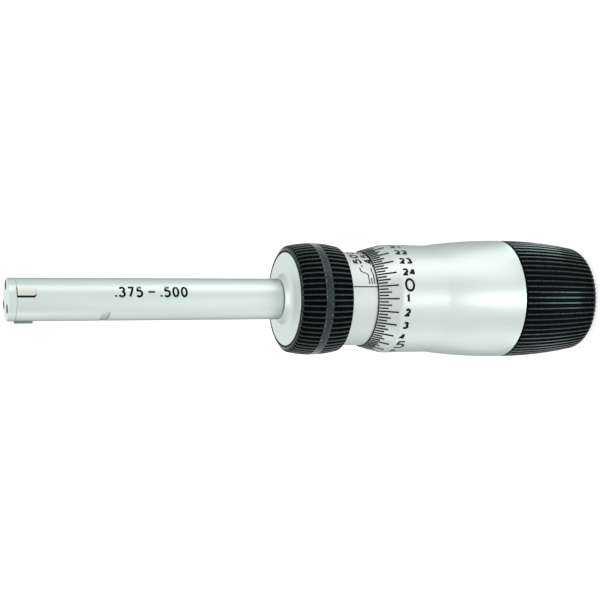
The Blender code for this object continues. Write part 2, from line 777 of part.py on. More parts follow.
def spindle():
    """Measuring screw, with a taper for the thimble and a threaded hole for the stem."""
    bottom = WEB_BOTTOM + SEAT_GAP
    hole = STEM_THREAD_RADIUS + FIT
    hole_top = bottom + STEM_THREAD_LENGTH + FIT
    return turned("spindle", (
        (0, SPINDLE_TOP),
        (SPINDLE_RADIUS, SPINDLE_TOP),
        (SPINDLE_RADIUS, WEB_TOP),
        (TAPER_TOP_RADIUS, WEB_TOP),
        (TAPER_FOOT_RADIUS, bottom),
        (hole, bottom),
        (hole, hole_top),
        (0, hole_top),
    ), BRIGHT_STEEL)


def barrel_points():
    """The thimble's barrel: an arc that meets the cap's joint parallel to the axis."""
    start = THIMBLE_TOP - THIMBLE_SHOULDER_AT - THIMBLE_SHOULDER
    start_radius = THIMBLE_RADIUS + THIMBLE_STEP
    length = start - THIMBLE_BOTTOM
    rise = THIMBLE_FOOT_RADIUS - start_radius
    points = []
    for step in range(THIMBLE_STEPS + 1):
        share = step / THIMBLE_STEPS
        radius = THIMBLE_FOOT_RADIUS - rise * (1 - share) ** 2
        points.append((radius, start - length * share))
    return points


def thimble():
    taper_gap = FIT
    edge_radius = THIMBLE_BORE + THIMBLE_EDGE_WALL
    outside = [
        (edge_radius, THIMBLE_TOP),
        (THIMBLE_RADIUS, THIMBLE_TOP - THIMBLE_CONE),
        (THIMBLE_RADIUS, THIMBLE_TOP - THIMBLE_SHOULDER_AT),
    ]
    inside = [
        (SPIGOT_RADIUS, THIMBLE_BOTTOM),
        (SPIGOT_RADIUS, SPIGOT_BOTTOM),
        (RECESS_RADIUS, SPIGOT_BOTTOM),
        (RECESS_RADIUS, WEB_BOTTOM),
        (TAPER_FOOT_RADIUS + taper_gap, WEB_BOTTOM),
        (TAPER_TOP_RADIUS + taper_gap, WEB_TOP),
        (THIMBLE_BORE, WEB_TOP),
    ]
    return turned("thimble", outside + barrel_points() + inside, SATIN_CHROME, FINE_STEPS)


def ratchet_stem():
    flange_top = WEB_BOTTOM - SEAT_GAP
    thread_top = WEB_BOTTOM + SEAT_GAP + STEM_THREAD_LENGTH
    hole = CAP_SCREW_RADIUS + FIT
    hole_top = STEM_BOTTOM + CAP_SCREW_LENGTH + FIT
    return turned("ratchet_stem", (
        (0, thread_top),
        (STEM_THREAD_RADIUS, thread_top),
        (STEM_THREAD_RADIUS, flange_top),
        (STEM_FLANGE_RADIUS, flange_top),
        (STEM_FLANGE_RADIUS, STEM_FLANGE_BOTTOM),
        (STEM_RADIUS, STEM_FLANGE_BOTTOM),
        (STEM_RADIUS, STEM_BOTTOM),
        (hole, STEM_BOTTOM),
        (hole, hole_top),
        (0, hole_top),
    ), BRIGHT_STEEL)


def tooth_grooves(name, height):
    """V grooves for the ratchet's teeth: square bars on edge, spread round the axis."""
    side = TOOTH_DEPTH * math.sqrt(2)
    length = DISC_RADIUS
    bm = bmesh.new()
    for index in range(TEETH):
        turn = Matrix.Rotation(2 * math.pi * index / TEETH, 4, "Z")
        shift = Matrix.Translation((TOOTH_START + length / 2, 0, height))
        edge_up = Matrix.Rotation(math.pi / 4, 4, "X")
        size = Matrix.Diagonal((length, side, side, 1))
        bmesh.ops.create_cube(bm, size=1.0, matrix=turn @ shift @ edge_up @ size)
    mesh = bpy.data.meshes.new(name)
    bm.to_mesh(mesh)
    bm.free()
    return place(bpy.data.objects.new(name, mesh), cutter=True)


def disc(name, top, bottom, bore, toothed_height):
    plate = turned(name, (
        (DISC_RADIUS, top), (DISC_RADIUS, bottom), (bore, bottom), (bore, top),
    ), BRIGHT_STEEL)
    combine(plate, tooth_grooves(name + "_grooves", toothed_height))
    return plate


def ratchet_disc():
    return disc("ratchet_disc", RATCHET_DISC_TOP, RATCHET_DISC_BOTTOM, STEM_RADIUS + FIT,
                RATCHET_DISC_BOTTOM)


def clutch_disc():
    """Disc that slides in the cap on two keys, and is pressed against the ratchet disc."""
    clutch = disc("clutch_disc", CLUTCH_DISC_TOP, CLUTCH_DISC_BOTTOM, STEM_RADIUS + RUNNING_GAP,
                  CLUTCH_DISC_TOP)
    reach = DISC_RADIUS + KEY_REACH
    height = DISC_THICKNESS - 2 * TOOTH_DEPTH
    for number, side in enumerate((1, -1), 1):
        inner = TOOTH_START
        middle = Vector((side * (inner + reach) / 2, 0, CLUTCH_DISC_BOTTOM + FIT + height / 2))
        key = block(f"clutch_key_{number}", (reach - inner, KEY_WIDTH, height),
                    Matrix.Translation(middle))
        combine(clutch, key, "UNION")
    return clutch


def cap_screw():
    head_top = CAP_SCREW_WELL - FIT
    head_foot = head_top - CAP_SCREW_HEAD_HEIGHT
    thread_top = STEM_BOTTOM + CAP_SCREW_LENGTH
    screw = turned("cap_screw", (
        (0, thread_top),
        (CAP_SCREW_RADIUS, thread_top),
        (CAP_SCREW_RADIUS, head_top),
        (CAP_SCREW_HEAD_RADIUS, head_top),
        (CAP_SCREW_HEAD_RADIUS, head_foot),
        (0, head_foot),
    ), BRIGHT_STEEL)
    slot = block("cap_screw_slot", (4 * CAP_SCREW_HEAD_RADIUS, CAP_SCREW_SLOT, CAP_SCREW_SLOT * 2),
                 Matrix.Translation((0, 0, head_foot)))
    combine(screw, slot)
    return screw


def cap_radius(below_rim):
    """The cap's crowned outside, at a distance below its rim."""
    off_crown = below_rim - CAP_CROWN_BELOW_RIM
    return CAP_RADIUS - off_crown ** 2 / (2 * CAP_SWEEP)


def ratchet_cap():
    """Ribbed cap: ribs run from the rim over the rounded end, where it stands."""
    corner_start = CAP_LENGTH - CAP_CORNER_LENGTH
    corner_radius = cap_radius(corner_start)
    stations = [(CAP_LENGTH, cap_radius(0), 0)]
    for step in range(CAP_SIDE_STEPS + 1):
        down = CAP_RIM + (corner_start - CAP_RIM) * step / CAP_SIDE_STEPS
        stations.append((CAP_LENGTH - down, cap_radius(down), RIB_DEPTH))
    for step in range(1, CAP_CORNER_STEPS + 1):
        turn = math.pi / 2 * step / CAP_CORNER_STEPS
        down = corner_start + CAP_CORNER_LENGTH * math.sin(turn)
        radius = corner_radius - CAP_CORNER_DROP * (1 - math.cos(turn))
        stations.append((CAP_LENGTH - down, radius, RIB_DEPTH))
    cap = lofted("ratchet_cap", stations, CAP_RIBS, RIB_FLOOR, BLACK_GRIP)
    chamber = DISC_RADIUS + DISC_PLAY
    spigot_floor = SPIGOT_BOTTOM - SEAT_GAP
    above = CAP_LENGTH + CAP_RIM
    well = turned("cap_well", (
        (0, above),
        (SPIGOT_RADIUS + RUNNING_GAP, above),
        (SPIGOT_RADIUS + RUNNING_GAP, spigot_floor),
        (chamber, spigot_floor),
        (chamber, CAP_WEB_TOP),
        (STEM_RADIUS + RUNNING_GAP, CAP_WEB_TOP),
        (STEM_RADIUS + RUNNING_GAP, CAP_SCREW_WELL),
        (CAP_SCREW_WELL_RADIUS, CAP_SCREW_WELL),
        (CAP_SCREW_WELL_RADIUS, -CAP_RIM),
        (0, -CAP_RIM),
    ), steps=FINE_STEPS, cutter=True)
    combine(cap, well)
    keyway_reach = DISC_RADIUS + KEY_REACH + RUNNING_GAP
    keyway_height = CAP_LENGTH - CAP_WEB_TOP
    keyway = block("cap_keyway", (2 * keyway_reach, KEY_WIDTH + 2 * RUNNING_GAP, keyway_height),
                   Matrix.Translation((0, 0, CAP_WEB_TOP + FIT + keyway_height / 2)))
    combine(cap, keyway)
    return cap


def carry(name, pieces, carrier=None):
    """Hang the pieces that move together on one empty on the tool's axis."""
    empty = bpy.data.objects.new(name, None)
    PARTS.objects.link(empty)
    if carrier:
        empty.parent = carrier
    for piece in pieces:
        piece.parent = empty
    return empty


def build():
    return_spring = coil("return_spring", RETURN_SEAT_TOP, SHANK_BOTTOM, RETURN_COIL_RADIUS,
                         RETURN_WIRE, RETURN_TURNS, SPRING_STEEL)
    ratchet_spring = coil("ratchet_spring", CAP_WEB_TOP, CLUTCH_DISC_BOTTOM, RATCHET_COIL_RADIUS,
                          RATCHET_WIRE, RATCHET_TURNS, SPRING_STEEL)
    fixed = [head_tube(), nose_plate(), *nose_screws(), rod_guide_bush(), front_housing(),
             grip_collar(), sleeve(), inner_barrel(), spindle_nut(), adjusting_nut()]
    frame = carry("frame", fixed)
    for number, anvil in enumerate(anvils(), 1):
        carry(f"anvil_{number}_slide", [anvil], frame)
    moved = [expander_cone(), push_rod(), return_seat(), thrust_ball(), return_spring]
    expander = carry("expander", moved, frame)
    turning = carry("thimble_axis", [thimble(), spindle(), ratchet_stem(), ratchet_disc(),
                                     cap_screw()], expander)
    carry("cap_axis", [ratchet_cap(), clutch_disc(), ratchet_spring], turning)


build()
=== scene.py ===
"""Looks of the inside micrometer, laid out as a Blender add-on and run as a script.

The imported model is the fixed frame. It stands on its ratchet cap with the tip up, so +Z runs
from the cap to the tip and the front, -Y, carries the sleeve's datum line. Turns are counted
in degrees from the front towards +X, which is up in the photograph.
"""
import math

import bmesh
import bpy
from bpy.props import FloatProperty, FloatVectorProperty, IntProperty, PointerProperty
from bpy.types import Operator, Panel, PropertyGroup
from mathutils import Matrix, Vector


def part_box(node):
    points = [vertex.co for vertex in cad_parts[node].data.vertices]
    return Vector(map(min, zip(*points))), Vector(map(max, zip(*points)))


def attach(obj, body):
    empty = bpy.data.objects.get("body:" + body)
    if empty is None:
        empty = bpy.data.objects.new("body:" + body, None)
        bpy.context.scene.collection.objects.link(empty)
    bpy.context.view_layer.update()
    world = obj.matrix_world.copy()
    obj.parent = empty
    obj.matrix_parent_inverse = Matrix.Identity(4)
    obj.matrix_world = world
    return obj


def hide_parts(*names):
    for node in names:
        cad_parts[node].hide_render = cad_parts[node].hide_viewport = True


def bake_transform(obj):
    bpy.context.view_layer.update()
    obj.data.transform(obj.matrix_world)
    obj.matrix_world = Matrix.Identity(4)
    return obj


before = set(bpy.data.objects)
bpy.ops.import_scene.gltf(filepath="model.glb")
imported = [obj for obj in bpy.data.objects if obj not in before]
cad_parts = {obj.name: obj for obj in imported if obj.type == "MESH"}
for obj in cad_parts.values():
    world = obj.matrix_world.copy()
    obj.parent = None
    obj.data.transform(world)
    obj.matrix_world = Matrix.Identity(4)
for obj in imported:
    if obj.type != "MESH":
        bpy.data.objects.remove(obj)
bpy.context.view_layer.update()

bl_info = {
    "name": "Inside Micrometer",
    "version": (1, 0, 0),
    "blender": (4, 5, 0),
    "location": "3D View > Sidebar > Micrometer",
    "description": "Builds the finished pieces of a three-point inside micrometer",
    "category": "Object",
}

MM = 0.001

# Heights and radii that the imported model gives
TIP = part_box("nose_plate")[1].z
TUBE_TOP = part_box("head_tube")[1].z
SHANK_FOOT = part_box("head_tube")[0].z
TUBE_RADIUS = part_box("nose_plate")[1].x
BOSS_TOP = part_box("front_housing")[1].z
HUB_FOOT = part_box("front_housing")[0].z
FLANGE_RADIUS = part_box("front_housing")[1].x
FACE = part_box("grip_collar")[1].z
COLLAR_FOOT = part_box("grip_collar")[0].z
COLLAR_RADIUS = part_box("grip_collar")[1].x
SLEEVE_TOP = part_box("sleeve")[1].z
SLEEVE_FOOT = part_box("sleeve")[0].z
SLEEVE_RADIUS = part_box("sleeve")[1].x
THIMBLE_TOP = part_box("thimble")[1].z
SPIGOT_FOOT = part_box("thimble")[0].z
THIMBLE_FOOT_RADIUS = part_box("thimble")[1].x
CAP_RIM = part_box("ratchet_cap")[1].z
CAP_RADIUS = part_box("ratchet_cap")[1].x
SCREW_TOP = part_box("nose_screw_1")[1].z
SCREW_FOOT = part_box("nose_screw_1")[0].z

# Play between pieces
FIT = 0.1 * MM
SEAT_GAP = 0.12 * MM
RUNNING_GAP = 0.12 * MM

# Head tube: its foot stops a hair above the boss, whose top is set down for a dark joint line
SHANK_RADIUS = 3.7 * MM
TUBE_BORE = 2.75 * MM
HEAD_BORE = 3.6 * MM
HEAD_BORE_DEPTH = 10.6 * MM
HEAD_MOUTH = 2.35 * MM
HEAD_MOUTH_DEPTH = 2.4 * MM
TUBE_LIFT = 0.02 * MM
NOTCH_WIDTH = 2.02 * MM
NOTCH_DEPTH = 0.7 * MM
NOTCH_FROM_END = 18.8 * MM
NOTCH_TURN = -65

# Anvils, each nearer to one side of its slot, and reaching as far out as the photograph shows
ANVIL_TURNS = (22, 142, 262)
ANVIL_LENGTH = 3.86 * MM
ANVIL_WIDTH = 2.2 * MM
ANVIL_CORNER = 0.55 * MM
ANVIL_DEPTH = 2.4 * MM
ANVIL_REACH = 5.14 * MM
ANVIL_BEVEL = 0.1 * MM
CONTACT_RADIUS = 4.3 * MM
SLOT_PLAY = 0.32 * MM
SLOT_CLOSE_SIDE = 0.07 * MM

# End plate and its sunk screws
PLATE_DROP = 0.1 * MM
PLATE_GAP = 0.05 * MM
PLATE_THICKNESS = 0.65 * MM
PLATE_CHAMFER = 0.7 * MM
PLATE_CHAMFER_DROP = 0.16 * MM
SCREW_TURNS = (82, 202, 322)
SCREW_CIRCLE = 3.15 * MM
SCREW_DROP = 0.13 * MM
SCREW_HEAD_RADIUS = 0.95 * MM
SCREW_HEAD_HEIGHT = 0.6 * MM
SCREW_SHANK_RADIUS = 0.45 * MM
SCREW_SLOT_WIDTH = 0.3 * MM
SCREW_SLOT_CUT = 0.6 * MM
TUBE_HOLE_RADIUS = 0.5 * MM
PLATE_HOLE_RADIUS = 0.55 * MM
WELL_RADIUS = 1.07 * MM

# Front housing and return spring
BOSS_RADIUS = 5.0 * MM
BOSS_DROP = 0.22 * MM
BOSS_FOOT_RADIUS = 5.95 * MM
BOSS_FILLET = 0.75 * MM
FLANGE_THICKNESS = 2.0 * MM
HUB_RADIUS = 8.4 * MM
CHAMBER_RADIUS = 4.4 * MM
SPRING_TURNS = 4
SPRING_RADIUS = 3.1 * MM
SPRING_WIRE = 0.3 * MM

# Grip collar: its side is an arc, and its flutes leave a plain band and a thin rear rim
COLLAR_CROWN_BELOW_FACE = 6.3 * MM
COLLAR_SWEEP = 24.4 * MM
COLLAR_FRONT_CHAMFER = 0.65 * MM
COLLAR_FRONT_DROP = 0.95 * MM
COLLAR_REAR_CHAMFER = 0.12 * MM
COLLAR_REAR_DROP = 0.1 * MM
CHAMFER_STEPS = 14
PLAIN_BAND_START = 5.36 * MM
PLAIN_BAND_END = 7.45 * MM
FLUTE_SHARE = 0.67
FLUTE_WALL = 0.2 * MM
FLUTE_UP_CHAMFER = 0.85 * MM
FLUTE_LEAD = 0.2
REAR_RIM = 0.05 * MM
REAR_FADE = 0.4 * MM
# Length of the rear rim that is painted with the grooves' black as painted shade
REAR_PAINTED_SHADE = 0.6 * MM

# Sleeve and thimble, whose foot overlaps the cap's lip
SLEEVE_WALL = 0.7 * MM
THIMBLE_LENGTH = 36.38 * MM
THIMBLE_FOOT = THIMBLE_TOP - THIMBLE_LENGTH
THIMBLE_RADIUS = 12.7 * MM
THIMBLE_BORE = SLEEVE_RADIUS + RUNNING_GAP
EDGE_RADIUS = THIMBLE_BORE + 0.17 * MM
CONE_LENGTH = 5.28 * MM
BARREL_START = 16.7 * MM
SKIRT_LENGTH = 0.22 * MM
SKIRT_WALL = 0.25 * MM
WEB_FOOT = THIMBLE_FOOT + 2.2 * MM
WEB_TOP = WEB_FOOT + 5.3 * MM
SPIGOT_RADIUS = 12.0 * MM
RECESS_RADIUS = 9.5 * MM
WEB_BORE = 4.3 * MM

# Ratchet cap: a plain lip, sunk as deep as the grooves and given their painted shade, then ribs that
# fade out over its rounded end
CAP_CROWN_BELOW_RIM = 2.04 * MM
CAP_SWEEP = 96.5 * MM
CAP_CORNER_LENGTH = 2.68 * MM
CAP_CORNER_DROP = 3.44 * MM
CAP_CORNER_STEPS = 14
CAP_EDGE = 0.08 * MM
CAP_LIP = 0.55 * MM
CAP_LIP_WALL = 0.12 * MM
RIB_GROOVE_SHARE = 0.72
RIB_WALL = 0.32 * MM
RIB_LEAD = -0.39
RIB_END = 1.4 * MM
RIB_FADE = 3.2 * MM
CAP_WELL_RADIUS = 4.0 * MM
CAP_WELL_CHAMFER = 0.15 * MM
CAP_WELL_DEPTH = 4.5 * MM
CAP_WEB_TOP = 9.0 * MM
CAP_BORE = 2.32 * MM
CAP_CHAMBER = 7.9 * MM
CAP_SPIGOT_BORE = 12.12 * MM

# Places across one pitch of a ridged ring, with a groove's middle at 0 and a crest's at half a
# pitch, where a crest's rounding starts, how deep it is, and how bright the painted highlight at a
# groove's steep end is
COLUMNS = (0.0, 0.08, 0.15, 0.2, 0.24, 0.27, 0.29, 0.3, 0.33, 0.37, 0.43, 0.5)
CREST_START = 0.35
CREST_ROUND = 0.04
EDGE_GLINT = 8.0

# Scales: the sleeve's marks are one turn of the measuring thread apart
THREAD_PITCH = 0.635 * MM
TURN_READING = 0.025
SET_READING = 0.425
DATUM_TURN = 14.3
THIMBLE_MARKS = 100
THIMBLE_NUMBERS = 25
LONG_MARK = 4.5 * MM
MEDIUM_MARK = 2.86 * MM
SHORT_MARK = 2.15 * MM
MARK_START = 0.16 * MM
INK_PROUD = 0.006 * MM
INK_SUNK = 0.02 * MM
# Black ring at the thimble's edge, a painted shadow of its gap to the sleeve: how proud it stands and
# how far down the edge it reaches
GAP_SHADOW_PROUD = 0.012 * MM
GAP_SHADOW_LENGTH = 0.12 * MM

# Sleeve marks, which run from one turn to the next: mark, short, long, leader and label
SLEEVE_MARK_TURN, SHORT_TURN, LONG_TURN, LEADER_TURN, LABEL_TURN = 17.6, 25.6, 30.5, 35.0, 40.3
SLEEVE_LINE_SHARE = 0.85
LABEL_LIFT = 0.17 * MM
LABEL_SPACING = 2.7 * MM

# Figures: height, width and gap, with the share of the thimble's stroke width, and their places
SMALL_WIDTH, LARGE_WIDTH, THIMBLE_FIGURE_GAP = 1.5 * MM, 2.55 * MM, 0.2 * MM
SLEEVE_FIGURE = (2.1 * MM, 1.9 * MM, 0.4 * MM)
RANGE_FIGURE = (2.55 * MM, 1.6 * MM, 0.3 * MM)
FINE_STROKE_SHARE = 0.86
THIMBLE_NUMBER_TOP = THIMBLE_TOP - CONE_LENGTH - 0.67 * MM
SLEEVE_NUMBER_TURN = 41.5
RANGE_TURN = 20.0
RANGE_TOP = 117.2 * MM

# The camera, fitted to the photograph: its own frame is square and 600 pixels wide
PHOTO_WIDTH = 600
FOCAL_PIXELS = 1228
SENSOR_WIDTH = 36
CAMERA_DIP = 20.81
CAMERA_ROLL = 0.16
CAMERA_DISTANCE = 282.44 * MM
CLIP_START = 0.01
CLIP_END = 50
AIM_HEIGHT = 73.156 * MM
AIM_DROP = 0.26 * MM

# Studio: a white world, a floor that glows, and lamps of two tints
WORLD_STRENGTH = 1.05
FLOOR_RADIUS = 6.0
FLOOR_SINK = 0.02 * MM
FLOOR_GLOW = 0.74
LIGHT_AIM = (0, 0, 0.07)
PANEL_LIFT = 0.5 * MM
WARM = (1.0, 0.9, 0.94)
COOL = (0.74, 1.0, 0.95)

# Soft boxes: place, width and height in metres, and watts
SOFTBOXES = {
    "right_softbox": ((1.24, -0.66, 0.22), (0.75, 0.4), 1.6),
    "left_softbox": ((-1.39, -0.15, 0.22), (0.6, 0.4), 0.7),
    "back_softbox": ((0, 1.87, 0.8), (1.8, 1.0), 1.6),
    "front_softbox": ((0, -1.3, 0.18), (0.9, 0.3), 0.15),
    "top_softbox": ((0, -0.85, 1.05), (1.3, 1.0), 4.5),
}

# Panels on the floor: turn, near and far end and width in metres, radiance and tint
FLOOR_PANELS = {
    "right_panel": (64, 0.05, 0.2, 0.09, 0.8, WARM),
    "far_right_panel": (68, 0.2, 0.46, 0.2, 1.0, WARM),
    "left_panel": (-84, 0.05, 0.2, 0.08, 0.42, WARM),
    "far_left_panel": (-34, 0.2, 0.46, 0.2, 0.36, WARM),
    "front_panel": (-2, 0.085, 0.116, 0.036, 3.4, WARM),
    "near_front_panel": (-2, 0.05, 0.085, 0.026, 1.25, WARM),
    "wide_front_panel": (0, 0.05, 0.12, 0.1, 0.2, WARM),
    "back_panel": (180, 0.05, 0.4, 0.06, 0.9, WARM),
    "far_front_panel": (-8, 0.2, 0.5, 0.11, 0.24, WARM),
    "cap_right_panel": (98, 0.018, 0.045, 0.026, 2.7, COOL),
    "cap_left_panel": (-78, 0.018, 0.045, 0.02, 1.2, COOL),
    "cap_front_panel": (-2, 0.018, 0.04, 0.009, 7.0, COOL),
}

# Segments round a turned surface and a small one, steps of a rounded corner, and the angle in
# degrees past which an edge stays sharp
TURN_STEPS = 144
SCREW_STEPS = 32
HOLE_STEPS = 24
EASE_STEPS = 6
SHARP_ANGLE = 35
BEVEL_ANGLE = 40

# Metals: colour or its property, roughness, grain, unevenness of the gloss, and the share that
# a side reflects at a grazing angle. The real grain is a few hundredths of a millimetre, too
# fine to show, so it is drawn some four times as coarse.
METALS = {
    # Hard chrome on bead-blasted steel: bright, soft bands and no sharp reflection
    "satin_chrome_plate": ("plate", 0.36, 0.12 * MM, 0.05, 0.45),
    # Hard chrome on the sleeve, blasted duller so that it doesn't glare: an even, flat tone
    "dull_chrome_plate": ("plate", 0.5, 0.12 * MM, 0.04, 0.45),
    # Cylindrically ground and stoned steel: slightly darker and glossier than the plate
    "ground_steel": ("steel", 0.33, 0.15 * MM, 0.05, 0.36),
    # Hardened steel, lapped on its contact face only: bright there, with darker flanks
    "lapped_steel": ("#c0c4be", 0.34, 0.08 * MM, 0.04, 0.6),
    # Turned and polished steel of the inner works: close, glossy reflections
    "polished_steel": ("#c9cccd", 0.2, 0.2 * MM, 0.05, 0.45),
    # Black oxide on the small screws: dark grey with a dull sheen
    "black_oxide_steel": ("#1c1f20", 0.45, 0.15 * MM, 0.06, 0.1),
    # Machined phosphor bronze of the measuring nut and the rod's bush: a warm satin
    "phosphor_bronze": ("#b98f54", 0.32, 0.2 * MM, 0.06, 0.45),
    # Oil-tempered spring wire: dark grey and fairly glossy
    "spring_wire": ("#7d8082", 0.3, 0.15 * MM, 0.06, 0.45),
}
FLANK_COLOUR = "#6c7774"
BROAD_TINT = 6 * MM

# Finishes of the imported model's own pieces that stay in place
INNER_FINISHES = {
    "polished_steel": ("expander_cone", "push_rod", "spring_seat", "thrust_ball",
                       "adjusting_nut", "spindle", "ratchet_stem", "ratchet_disc",
                       "clutch_disc", "cap_screw"),
    "ground_steel": ("inner_barrel",),
    "phosphor_bronze": ("rod_guide_bush", "spindle_nut"),
    "spring_wire": ("ratchet_spring",),
}


def linear(code):
    """Linear colour of an sRGB hex code."""
    channels = [int(code[i:i + 2], 16) / 255 for i in (1, 3, 5)]
    return tuple(c / 12.92 if c <= 0.04045 else ((c + 0.055) / 1.055) ** 2.4 for c in channels)


class MicrometerSizes(PropertyGroup):
    """Sizes that a user may change."""

    collar_flutes: IntProperty(
        name="Collar flutes", description="Flutes round the grip collar", default=62, min=12)
    flute_depth: FloatProperty(
        name="Flute depth", description="Depth of the collar's flutes",
        default=0.5 * MM, unit="LENGTH", precision=5)
    cap_ribs: IntProperty(
        name="Cap ribs", description="Ribs round the ratchet cap", default=66, min=12)
    rib_depth: FloatProperty(
        name="Rib depth", description="Depth of the grooves between the cap's ribs",
        default=0.5 * MM, unit="LENGTH", precision=5)
    mark_width: FloatProperty(
        name="Mark width", description="Width of the engraved graduations",
        default=0.3 * MM, unit="LENGTH", precision=5)
    stroke_width: FloatProperty(
        name="Stroke width", description="Width of the engraved strokes of the numbers",
        default=0.57 * MM, unit="LENGTH", precision=5)
    digit_height: FloatProperty(
        name="Digit height", description="Height of the thimble's small numbers",
        default=1.95 * MM, unit="LENGTH", precision=5)
    zero_height: FloatProperty(
        name="Large digit height", description="Height of the thimble's 0 and every fifth number",
        default=3.25 * MM, unit="LENGTH", precision=5)


class MicrometerColours(PropertyGroup):
    """Colours that a user may change."""

    plate: FloatVectorProperty(
        name="Chrome plate", description="Satin chrome of the thimble, sleeve and flange",
        subtype="COLOR", size=3, default=linear("#b9c3bf"))
    steel: FloatVectorProperty(
        name="Ground steel", description="Ground steel of the measuring head",
        subtype="COLOR", size=3, default=linear("#bdc8c4"))
    grip: FloatVectorProperty(
        name="Grip", description="Black moulding of the collar and the cap",
        subtype="COLOR", size=3, default=linear("#050707"))
    # Rubbed grey of the crests; where the flutes end the grip goes several times past it as a painted
    # highlight
    crest: FloatVectorProperty(
        name="Worn crest", description="Rubbed grey of the ridges and the plain band",
        subtype="COLOR", size=3, default=linear("#0d1211"))
    ink: FloatVectorProperty(
        name="Ink", description="Black fill of the engraved marks",
        subtype="COLOR", size=3, default=linear("#070909"))
    floor: FloatVectorProperty(
        name="Floor", description="Plain pale floor",
        subtype="COLOR", size=3, default=linear("#a8aaaa"))


def node(tree, kind, links=None, values=None, **settings):
    """Add a node with its settings, the values of its inputs and the links to them.

    A link comes from a socket, or from the first output of a node that is in use.
    """
    made = tree.nodes.new(kind)
    for name, setting in settings.items():
        setattr(made, name, setting)
    for socket, value in (values or {}).items():
        made.inputs[socket].default_value = value
    for socket, source in (links or {}).items():
        if isinstance(source, bpy.types.Node):
            source = next(output for output in source.outputs if output.enabled)
        tree.links.new(source, made.inputs[socket])
    return made


def opaque(colour, factor=1.0):
    """Colour for a node, made brighter or darker by a factor."""
    return (*(min(1.0, channel * factor) for channel in colour), 1.0)


def grey(level):
    return (level, level, level, 1.0)


def scale_of(size):
    """Noise scale whose features are about a size across."""
    return 1 / size


def blank_material(name):
    material = bpy.data.materials.new(name)
    material.use_nodes = True
    material.node_tree.nodes.clear()
    return material, material.node_tree


def metal(name, colours):
    """A metal whose fine grain scatters its reflections and makes its gloss slightly uneven.

    Its sides look darker at a grazing angle, and its end faces, those facing along the axis, are
    blasted duller and painted 1.4 times as bright, a painted highlight.
    """
    colour, roughness, grain, unevenness, rim = METALS[name]
    colour = linear(colour) if colour.startswith("#") else getattr(colours, colour)
    material, tree = blank_material(name)
    where = node(tree, "ShaderNodeTexCoord").outputs
    fine = node(tree, "ShaderNodeTexNoise", {"Vector": where["Object"]},
                {"Scale": scale_of(grain), "Detail": 3.0})
    broad = node(tree, "ShaderNodeTexNoise", {"Vector": where["Object"]},
                 {"Scale": scale_of(BROAD_TINT), "Detail": 2.0})
    gloss = node(tree, "ShaderNodeMapRange", {"Value": fine},
                 {"To Min": roughness - unevenness, "To Max": roughness + unevenness})
    tint = node(tree, "ShaderNodeMix", {"Factor": broad},
                {"A": opaque(colour, 0.97), "B": opaque(colour)}, data_type="RGBA")
    relief = node(tree, "ShaderNodeBump", {"Height": fine},
                  {"Strength": 0.12, "Distance": grain / 8})
    slant = node(tree, "ShaderNodeSeparateXYZ", {"Vector": where["Normal"]})
    level = node(tree, "ShaderNodeMath", {0: slant.outputs["Z"]}, operation="ABSOLUTE")
    end = node(tree, "ShaderNodeMapRange", {"Value": level}, {"From Min": 0.5, "From Max": 0.9})
    # Faces along the axis get a base colour 1.4 times as bright: a painted highlight for the light that
    # falls on them
    end_lit_colour = node(tree, "ShaderNodeMix", {"Factor": end, "A": tint},
                  {"B": opaque(colour, 1.4)}, data_type="RGBA")
    edge = node(tree, "ShaderNodeMix", {"Factor": end},
                {"A": grey(rim), "B": grey(rim + 0.3)}, data_type="RGBA")
    rough = node(tree, "ShaderNodeMath", {0: end, 2: gloss}, {1: 0.28},
                 operation="MULTIPLY_ADD")
    shader = node(tree, "ShaderNodeBsdfPrincipled",
                  {"Base Color": end_lit_colour, "Roughness": rough, "Specular Tint": edge,
                   "Normal": relief}, {"Metallic": 1.0})
    node(tree, "ShaderNodeOutputMaterial", {"Surface": shader})
    return material


def lapped_steel(name, colours):
    """The lapped metal, with darker flanks where the anvil doesn't face away from the axis."""
    material = metal(name, colours)
    tree = material.node_tree
    where = node(tree, "ShaderNodeTexCoord").outputs
    outwards = node(tree, "ShaderNodeVectorMath", {0: where["Object"]}, {1: (1.0, 1.0, 0.0)},
                    operation="MULTIPLY")
    unit = node(tree, "ShaderNodeVectorMath", {0: outwards}, operation="NORMALIZE")
    facing_out = node(tree, "ShaderNodeVectorMath", {0: where["Normal"], 1: unit},
                      operation="DOT_PRODUCT")
    share = node(tree, "ShaderNodeMapRange", {"Value": facing_out},
                 {"From Min": 0.5, "From Max": 0.9})
    shader = next(item for item in tree.nodes if item.type == "BSDF_PRINCIPLED")
    end_lit_colour = shader.inputs["Base Color"].links[0].from_socket
    tint = node(tree, "ShaderNodeMix", {"Factor": share, "B": end_lit_colour},
                {"A": opaque(linear(FLANK_COLOUR))}, data_type="RGBA")
    tree.links.new(tint.outputs["Result"], shader.inputs["Base Color"])
    return material


